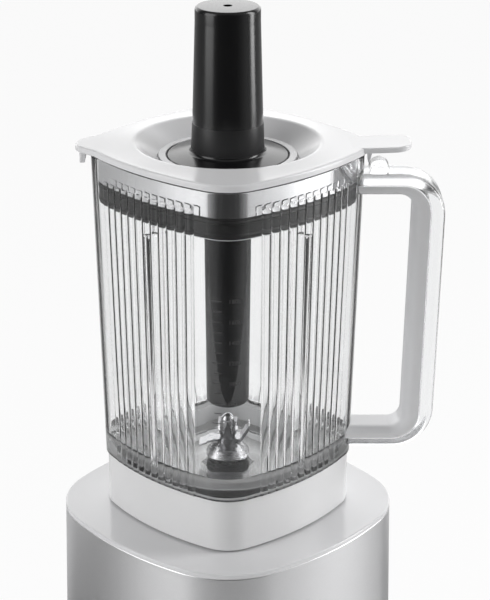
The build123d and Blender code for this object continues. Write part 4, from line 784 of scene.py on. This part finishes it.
def makeHandle():
    joint = loopLine(handle["shellSide"], handle["shellArm"], handle["jointRound"])
    outer = loopLine(0, 0, handle["outerRound"])
    half, bevel = handle["half"], handle["bevel"]
    size = handle["shellRound"]
    section = [(0, 0.0, -half + bevel), (0, bevel, -half)]
    section += [(1, -size + y, -half + size - x) for x, y in arcPoints((0, 0), size, 0, 90, 8)]
    section += [(1, -size + y, half - size + x) for x, y in arcPoints((0, 0), size, 90, 0, 8)]
    section += [(0, bevel, half), (0, 0.0, half - bevel)]
    bm = sweepBetween(joint, outer, section)
    addLatchBoss(bm)
    meshPiece("handleShell", bm, "jug", handleClear, ["handle_shell"], 40)
    seam = handle["seam"]
    near = loopLine(handle["shellSide"] + seam, handle["shellArm"] + seam, handle["jointRound"] - seam)
    window = loopLine(
        handle["shellSide"] + handle["gripSide"], handle["shellArm"] + handle["gripArm"], handle["windowRound"]
    )
    size = handle["gripRound"]
    section = [(1, 0.0, half - bevel), (1, -bevel, half)]
    section += [(0, size - y, half - size + x) for x, y in arcPoints((0, 0), size, 0, 90, 7)]
    section += [(0, size - y, -half + size - x) for x, y in arcPoints((0, 0), size, 90, 0, 7)]
    section += [(1, -bevel, -half), (1, 0.0, -half + bevel)]
    meshPiece("handleGrip", sweepBetween(window, near, section), "jug", gripGrey, ["handle_grip"], 40)


makeHandle()
print("handle made")


# bearing housing: two cones set edge to edge

housing = {"stem": 9.9, "foot": 10.4, "edge": 13.5, "edgeRise": 4.6, "top": 7.9, "seat": 8.05, "bore": 4.3}


def makeHousing():
    low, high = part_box("blade_housing")
    floor = deckTop + jug["floorTop"] * mm
    edge = floor + housing["edgeRise"] * mm
    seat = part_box("blade_bearings")[1].z
    points = [(housing["seat"], low.z), (housing["stem"], low.z), (housing["stem"], floor + 0.2 * mm)]
    points += [(housing["foot"], floor + 0.4 * mm), (housing["edge"] - 0.15, edge - 0.25 * mm)]
    points += [(housing["edge"], edge), (housing["edge"] - 0.25, edge + 0.3 * mm)]
    points += [(housing["top"] + 0.25, high.z - 0.4 * mm), (housing["top"] - 0.2, high.z), (housing["bore"], high.z)]
    points += [(housing["bore"], seat), (housing["seat"], seat), (housing["seat"], low.z)]
    meshPiece("bladeHousing", turnProfile(points), "jug", housingSteel, ["blade_housing"], 30)
    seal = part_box("housing_gasket")
    ring = [(housing["stem"] + 0.1, seal[0].z), (housing["foot"] + 0.2, seal[0].z)]
    ring += [(housing["foot"] + 0.2, floor + 0.35 * mm), (housing["stem"] + 0.1, floor + 0.35 * mm)]
    meshPiece("housingSeal", turnProfile(ring + ring[:1]), "jug", sealBlack, ["housing_gasket"], 30)


makeHousing()
print("housing made")


# collar under the jug, deck and motor base

base = {
    "deck": (101.0, 51.7, 4.0), "deckThick": 3.0, "deckRound": 0.9, "bossGap": 1.0,
    "skirt": {"deep": 9.0, "outer": 2.2, "inner": 4.7},
    "well": {"deep": 18.0, "mouth": 22.0, "round": 21.0, "hole": 10.5, "floor": 3.0, "outer": 23.5},
    "collar": (73.8, 22.4, 4.65), "collarWall": 2.8, "web": {"rise": 11.1, "thick": 3.0, "hole": 28.0},
    "flare": math.tan(math.radians(1.1)), "shellWall": 2.0,
}


def makeCollar():
    square, hole = base["collar"], base["web"]["hole"]
    inner = grown(square, -base["collarWall"])
    low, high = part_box("jug_collar")
    web = low.z + base["web"]["rise"] * mm
    webTop = web + base["web"]["thick"] * mm
    rings = flatRings(
        (inner, web), (inner, low.z), (grown(square, -0.5), low.z), (grown(square, -0.12), low.z + 0.15 * mm),
        (square, low.z + 0.5 * mm), (square, high.z - 0.8 * mm), (grown(square, -0.2), high.z - 0.2 * mm),
        (grown(square, -0.8), high.z), (inner, high.z), (inner, webTop),
    )
    rings += roundRings(inner, (hole, webTop), (hole, web))
    meshPiece("jugCollar", stackRings(rings, makeStations(28, 4, 3)), "jug", collarWhite, ["jug_collar"], 40)


def makeDeck():
    square, size = base["deck"], base["deckRound"]
    skirt, well = base["skirt"], base["well"]
    outer, inner = grown(square, -skirt["outer"]), grown(square, -skirt["inner"])
    boss = grown(base["collar"], -base["collarWall"] - base["bossGap"])
    under = deckTop - base["deckThick"] * mm
    skirtFoot = under - skirt["deep"] * mm
    bossTop = deckTop + bossRise
    wellTop = bossTop - well["deep"] * mm
    wellFoot = wellTop - well["floor"] * mm
    rings = flatRings(
        (inner, skirtFoot), (outer, skirtFoot), (outer, under), (grown(square, -0.1), under),
        (grown(square, 0.05), under + 0.2 * mm), (grown(square, 0.02), deckTop - size * mm),
        *[(grown(square, x), deckTop + z * mm) for x, z in arcPoints((-size, -size), size, 15, 90, 5)],
        (grown(boss, 0.4), deckTop), (boss, deckTop + 0.4 * mm), (boss, bossTop - 1.5 * mm),
        (grown(boss, -0.4), bossTop - 0.4 * mm), (grown(boss, -1.5), bossTop),
    )
    rings += roundRings(
        boss, (well["mouth"], bossTop), (well["round"], bossTop - 1 * mm), (well["round"], wellTop),
        (well["hole"], wellTop), (well["hole"], wellFoot), (well["outer"], wellFoot), (well["outer"], under),
    )
    rings += flatRings((inner, under))
    meshPiece("deckTopPlate", stackRings(rings, makeStations(40, 4, 3)), "base", deckGrey, ["deck"], 40)


def makeShell():
    low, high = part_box("base_shell")
    wall = base["shellWall"]

    def at(z, inset):
        return {"square": grown(base["deck"], (deckTop - z) / mm * base["flare"] - inset), "z": z}

    heights = [low.z + 0.4 * mm, low.z + 60 * mm, low.z + 120 * mm, high.z - 0.5 * mm]
    rings = [at(low.z, wall), at(low.z, 0.4)] + [at(z, 0) for z in heights]
    rings += [at(high.z - 0.1 * mm, 0.25), at(high.z, 0.6), at(high.z, wall)]
    meshPiece("baseShell", stackRings(rings, makeStations(48, 4, 3)), "base", shellSatin, ["base_shell"], 40)


makeCollar()
makeDeck()
makeShell()
print("base made")


# speed marks round the knob

dial = {
    "marks": 11, "sweep": 270, "reach": 23.6, "long": 1.7, "short": 1.1, "longEvery": 5, "line": 0.45, "ink": 0.12,
    "edge": 0.06,
}


def makeDial():
    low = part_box("control_panel")[0]
    knobLow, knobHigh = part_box("control_knob")
    height = (knobLow.z + knobHigh.z) / 2
    bm = bmesh.new()
    for number in range(dial["marks"]):
        mark = bmesh.ops.create_cube(bm, size=1)["verts"]
        length = dial["short"] if number % dial["longEvery"] else dial["long"]
        bmesh.ops.scale(bm, verts=mark, vec=(dial["line"] * mm, 2 * dial["ink"] * mm, length * mm))
        bmesh.ops.translate(bm, verts=mark, vec=(0, 0, dial["reach"] * mm))
        turn = math.radians(dial["sweep"] * number / (dial["marks"] - 1))
        bmesh.ops.rotate(bm, verts=mark, matrix=Matrix.Rotation(turn, 3, "Y"))
        bmesh.ops.translate(bm, verts=mark, vec=(0, low.y, height))
    edges = [edge for edge in bm.edges if edge.calc_face_angle(0) > 1]
    bevelEdges(bm, edges, dial["edge"] * mm, 2)
    meshPiece("dialMarks", bm, "base", lidWhite)


knobDot = {"radius": 0.85, "reach": 12.0, "sunk": 0.3, "deep": 0.3, "edge": 0.1}


def makeKnobDot():
    low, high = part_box("knob_trim")
    radius = knobDot["radius"] * mm
    bm = bmesh.new()
    bmesh.ops.create_cone(
        bm, cap_ends=True, segments=32, radius1=radius, radius2=radius, depth=knobDot["deep"] * mm,
        matrix=Matrix.Rotation(math.radians(90), 4, "X"),
    )
    rim = [edge for edge in bm.edges if edge.calc_face_angle(0) > 1]
    bevelEdges(bm, rim, knobDot["edge"] * mm, 2)
    depth = low.y + (knobDot["sunk"] + knobDot["deep"] / 2) * mm
    height = (low.z + high.z) / 2 + knobDot["reach"] * mm
    bmesh.ops.translate(bm, verts=bm.verts, vec=(0, depth, height))
    meshPiece("knobDot", bm, "knob", panelBlack)


makeDial()
makeKnobDot()
print("dial made")


# the nodes that keep their CAD shape

dressNodes(turnedSteel, 30, "blade_washer", "blade_nut", "housing_nut")
dressNodes(bladeSteel, 20, "lower_blade", "upper_blade")
dressNodes(turnedSteel, 30, "blade_shaft", "motor_shaft", "knob_shaft")
dressNodes(knobSilver, 30, "control_knob", "knob_trim", "start_button", "pulse_button")
dressNodes(panelBlack, 30, "control_panel")
dressNodes(panDark, 30, "base_pan")
dressNodes(footRubber, 30, "foot_pads")
dressNodes(innerBlack, 30, "cord_gland")
dressNodes(turnedSteel, 30, "handle_pins")
dressNodes(innerBlack, 30, "drive_coupling", "jug_coupling")
dressNodes(sealBlack, 30, "seat_pad")
paintNodes(sealBlack, "well_seal", "motor_mounts", "shaft_seal")
paintNodes(
    turnedSteel, "tie_rods", "mount_screws", "motor_bolts", "collar_screws", "interlock_magnet",
    "upper_bearing", "lower_bearing", "blade_bearings",
)
paintNodes(castGrey, "upper_bracket", "lower_bracket")
paintNodes(coreIron, "stator_core", "armature_core")
paintNodes(coilCopper, "field_coils", "armature_winding", "commutator")
paintNodes(holderBrass, "brush_holders")
paintNodes(brushCarbon, "carbon_brushes")
paintNodes(boardGreen, "power_board", "control_board")
paintNodes(innerBlack, "interlock_sensor", "cooling_fan", "fan_shroud")
print("nodes dressed")


# camera, floor and light

studio = {
    "cards": [  # how far each place on the floor is dimmed for the gloss, from front to back
        (0, 0.47), (0.21, 0.47), (0.33, 0.10), (0.40, 0.12), (0.49, 0.50), (0.58, 0.85), (0.66, 0.75), (0.77, 0.30),
    ],
    "cardReach": 0.6, "cardLean": -0.22,
    "world": [  # how bright the room is, from behind the camera to behind the blender
        (0, 0.03), (0.09, 0.06), (0.28, 0.42), (0.44, 0.42), (0.56, 0.10), (0.72, 0.10), (0.86, 1.9), (1, 2.1),
    ],
    "worldScale": 2, "whiteFront": (-0.5, -0.2), "floorHalf": 4, "floorFront": 0.65, "floorSeen": 0.9,
    "tableSide": (0.62, 0.70), "room": 0.05, "wallPasses": (2.0, 1.5), "aim": (0, 0, 0.3),
}
view = {
    "height": 0.5719, "back": 1.1271, "pitch": 21.33, "focal": 2010.0, "middle": 227.8,
    "frame": (490, 600), "sensor": 36,
}


def makeCamera():
    data = bpy.data.cameras.new("photoCamera")
    width, height = view["frame"]
    data.sensor_width = view["sensor"]
    data.lens = view["focal"] / height * view["sensor"]
    data.shift_x = (width / 2 - view["middle"]) / height
    data.clip_end = 50
    camera = bpy.data.objects.new("photoCamera", data)
    camera.location = (0, -view["back"], deckTop + view["height"])
    camera.rotation_euler = (math.radians(90 - view["pitch"]), 0, 0)
    bpy.context.scene.collection.objects.link(camera)
    bpy.context.scene.camera = camera


def placeStops(node, levels):
    stops = node.color_ramp.elements
    for spot, level in levels:
        stop = stops[0] if spot == 0 else stops[-1] if spot == levels[-1][0] else stops.new(spot)
        stop.position = spot
        stop.color = (level, level, level, 1)


def makeFloor():
    half = studio["floorHalf"]
    bm = bmesh.new()
    made = bmesh.ops.create_grid(bm, x_segments=1, y_segments=1, size=half)["verts"]
    bmesh.ops.translate(bm, verts=made, vec=(0, half - studio["floorFront"], 0))  # it ends in front of the blender
    mesh = bpy.data.meshes.new("floor")
    bm.to_mesh(mesh)
    bm.free()
    material, tree, shader = newMaterial("floor white", grey(0.75), 0.6)
    glow = addNode(tree, "ShaderNodeEmission", Color=(1, 1, 1, 1), Strength=1.0)
    room = addNode(tree, "ShaderNodeEmission", Color=(1, 1, 1, 1), Strength=studio["room"])
    rays = addNode(tree, "ShaderNodeLightPath").outputs
    place = addNode(tree, "ShaderNodeTexCoord")
    split = addNode(tree, "ShaderNodeSeparateXYZ")
    tree.links.new(place.outputs["Object"], split.inputs["Vector"])
    straight = mathNode(tree, "SUBTRACT", rays["Is Transmission Ray"], rays["Glossy Depth"])
    through = mathNode(tree, "MAXIMUM", rays["Is Camera Ray"], straight)  # white to the eye and through the jug
    seen = mathNode(tree, "MULTIPLY", through, studio["floorSeen"])
    white = mixShaders(tree, seen, shader.outputs["BSDF"], glow.outputs["Emission"])
    inWall = mathNode(tree, "COMPARE", rays["Transmission Depth"], *studio["wallPasses"])  # one to three passes
    mirrored = mathNode(tree, "MINIMUM", rays["Glossy Depth"], 1.0)
    bounced = mathNode(tree, "MULTIPLY", inWall, mirrored)
    aside = mathNode(tree, "ABSOLUTE", split.outputs["X"])
    beyond = ramp(tree, aside, 0, 1, *studio["tableSide"])
    dark = mathNode(tree, "MULTIPLY", beyond, bounced)  # light turned in the wall finds a table, then a dark room
    shine = mathNode(tree, "SUBTRACT", rays["Is Glossy Ray"], rays["Is Transmission Ray"], clamp=True)
    across = mathNode(tree, "MULTIPLY_ADD", split.outputs["X"], studio["cardLean"], split.outputs["Y"])
    cards = addNode(tree, "ShaderNodeValToRGB")  # grey cards beside the blender, which only its gloss shows
    tree.links.new(ramp(tree, across, 0, 1, -studio["cardReach"], studio["cardReach"]), cards.inputs["Fac"])
    placeStops(cards, studio["cards"])
    dim = mathNode(tree, "MULTIPLY_ADD", shine, cards.outputs["Color"], dark)
    mixed = mixShaders(tree, dim, white, room.outputs["Emission"])
    tree.links.new(mixed, tree.nodes["Material Output"].inputs["Surface"])
    mesh.materials.append(material)
    floor = bpy.data.objects.new("floor", mesh)
    bpy.context.scene.collection.objects.link(floor)


def makeLamp(name, spot, size, power):
    data = bpy.data.lights.new(name, "AREA")
    data.shape = "RECTANGLE"
    data.size, data.size_y = size
    data.energy = power
    lamp = bpy.data.objects.new(name, data)
    lamp.location = spot
    lamp.rotation_euler = (Vector(studio["aim"]) - Vector(spot)).to_track_quat("-Z", "Y").to_euler()
    bpy.context.scene.collection.objects.link(lamp)
    return lamp


def makeWorld():
    world = bpy.data.worlds.new("studio")
    world.use_nodes = True
    tree = world.node_tree
    sky = tree.nodes["Background"]
    place = addNode(tree, "ShaderNodeTexCoord")
    split = addNode(tree, "ShaderNodeSeparateXYZ")
    tree.links.new(place.outputs["Generated"], split.inputs["Vector"])
    depth = ramp(tree, split.outputs["Y"], 0.0, 1.0, -1.0, 1.0)
    shade = addNode(tree, "ShaderNodeValToRGB")  # dark behind the camera, bright behind the blender
    tree.links.new(depth, shade.inputs["Fac"])
    placeStops(shade, [(spot, level / studio["worldScale"]) for spot, level in studio["world"]])
    bright = mathNode(tree, "MULTIPLY", shade.outputs["Color"], studio["worldScale"])
    rays = addNode(tree, "ShaderNodeLightPath").outputs
    straight = mathNode(tree, "SUBTRACT", rays["Is Transmission Ray"], rays["Glossy Depth"], clamp=True)
    front = ramp(tree, split.outputs["Y"], 1, 0, *studio["whiteFront"])
    clear = mathNode(tree, "MULTIPLY", straight, front)  # from behind, the jug shows the white backdrop too
    mix = addNode(tree, "ShaderNodeMix", data_type="FLOAT")
    tree.links.new(mathNode(tree, "MAXIMUM", rays["Is Camera Ray"], clear), mix.inputs["Factor"])
    tree.links.new(bright, mix.inputs["A"])
    mix.inputs["B"].default_value = 1.0
    tree.links.new(mix.outputs["Result"], sky.inputs["Strength"])
    sky.inputs["Color"].default_value = (1, 1, 1, 1)
    bpy.context.scene.world = world


makeCamera()
makeFloor()
makeWorld()
makeLamp("leftSoft", (-1.37, -0.61, 0.8), (1.0, 1.5), 13)
makeLamp("rightStrip", (1.5, 0.08, 0.8), (0.5, 1.6), 19)
fill = makeLamp("frontFill", (0, -1.7, 0.5), (2.0, 1.0), 5)
fill.visible_glossy = fill.visible_transmission = False  # it evens the front without a reflection
bpy.context.scene.view_settings.view_transform = "Standard"
print("camera, floor and light made")
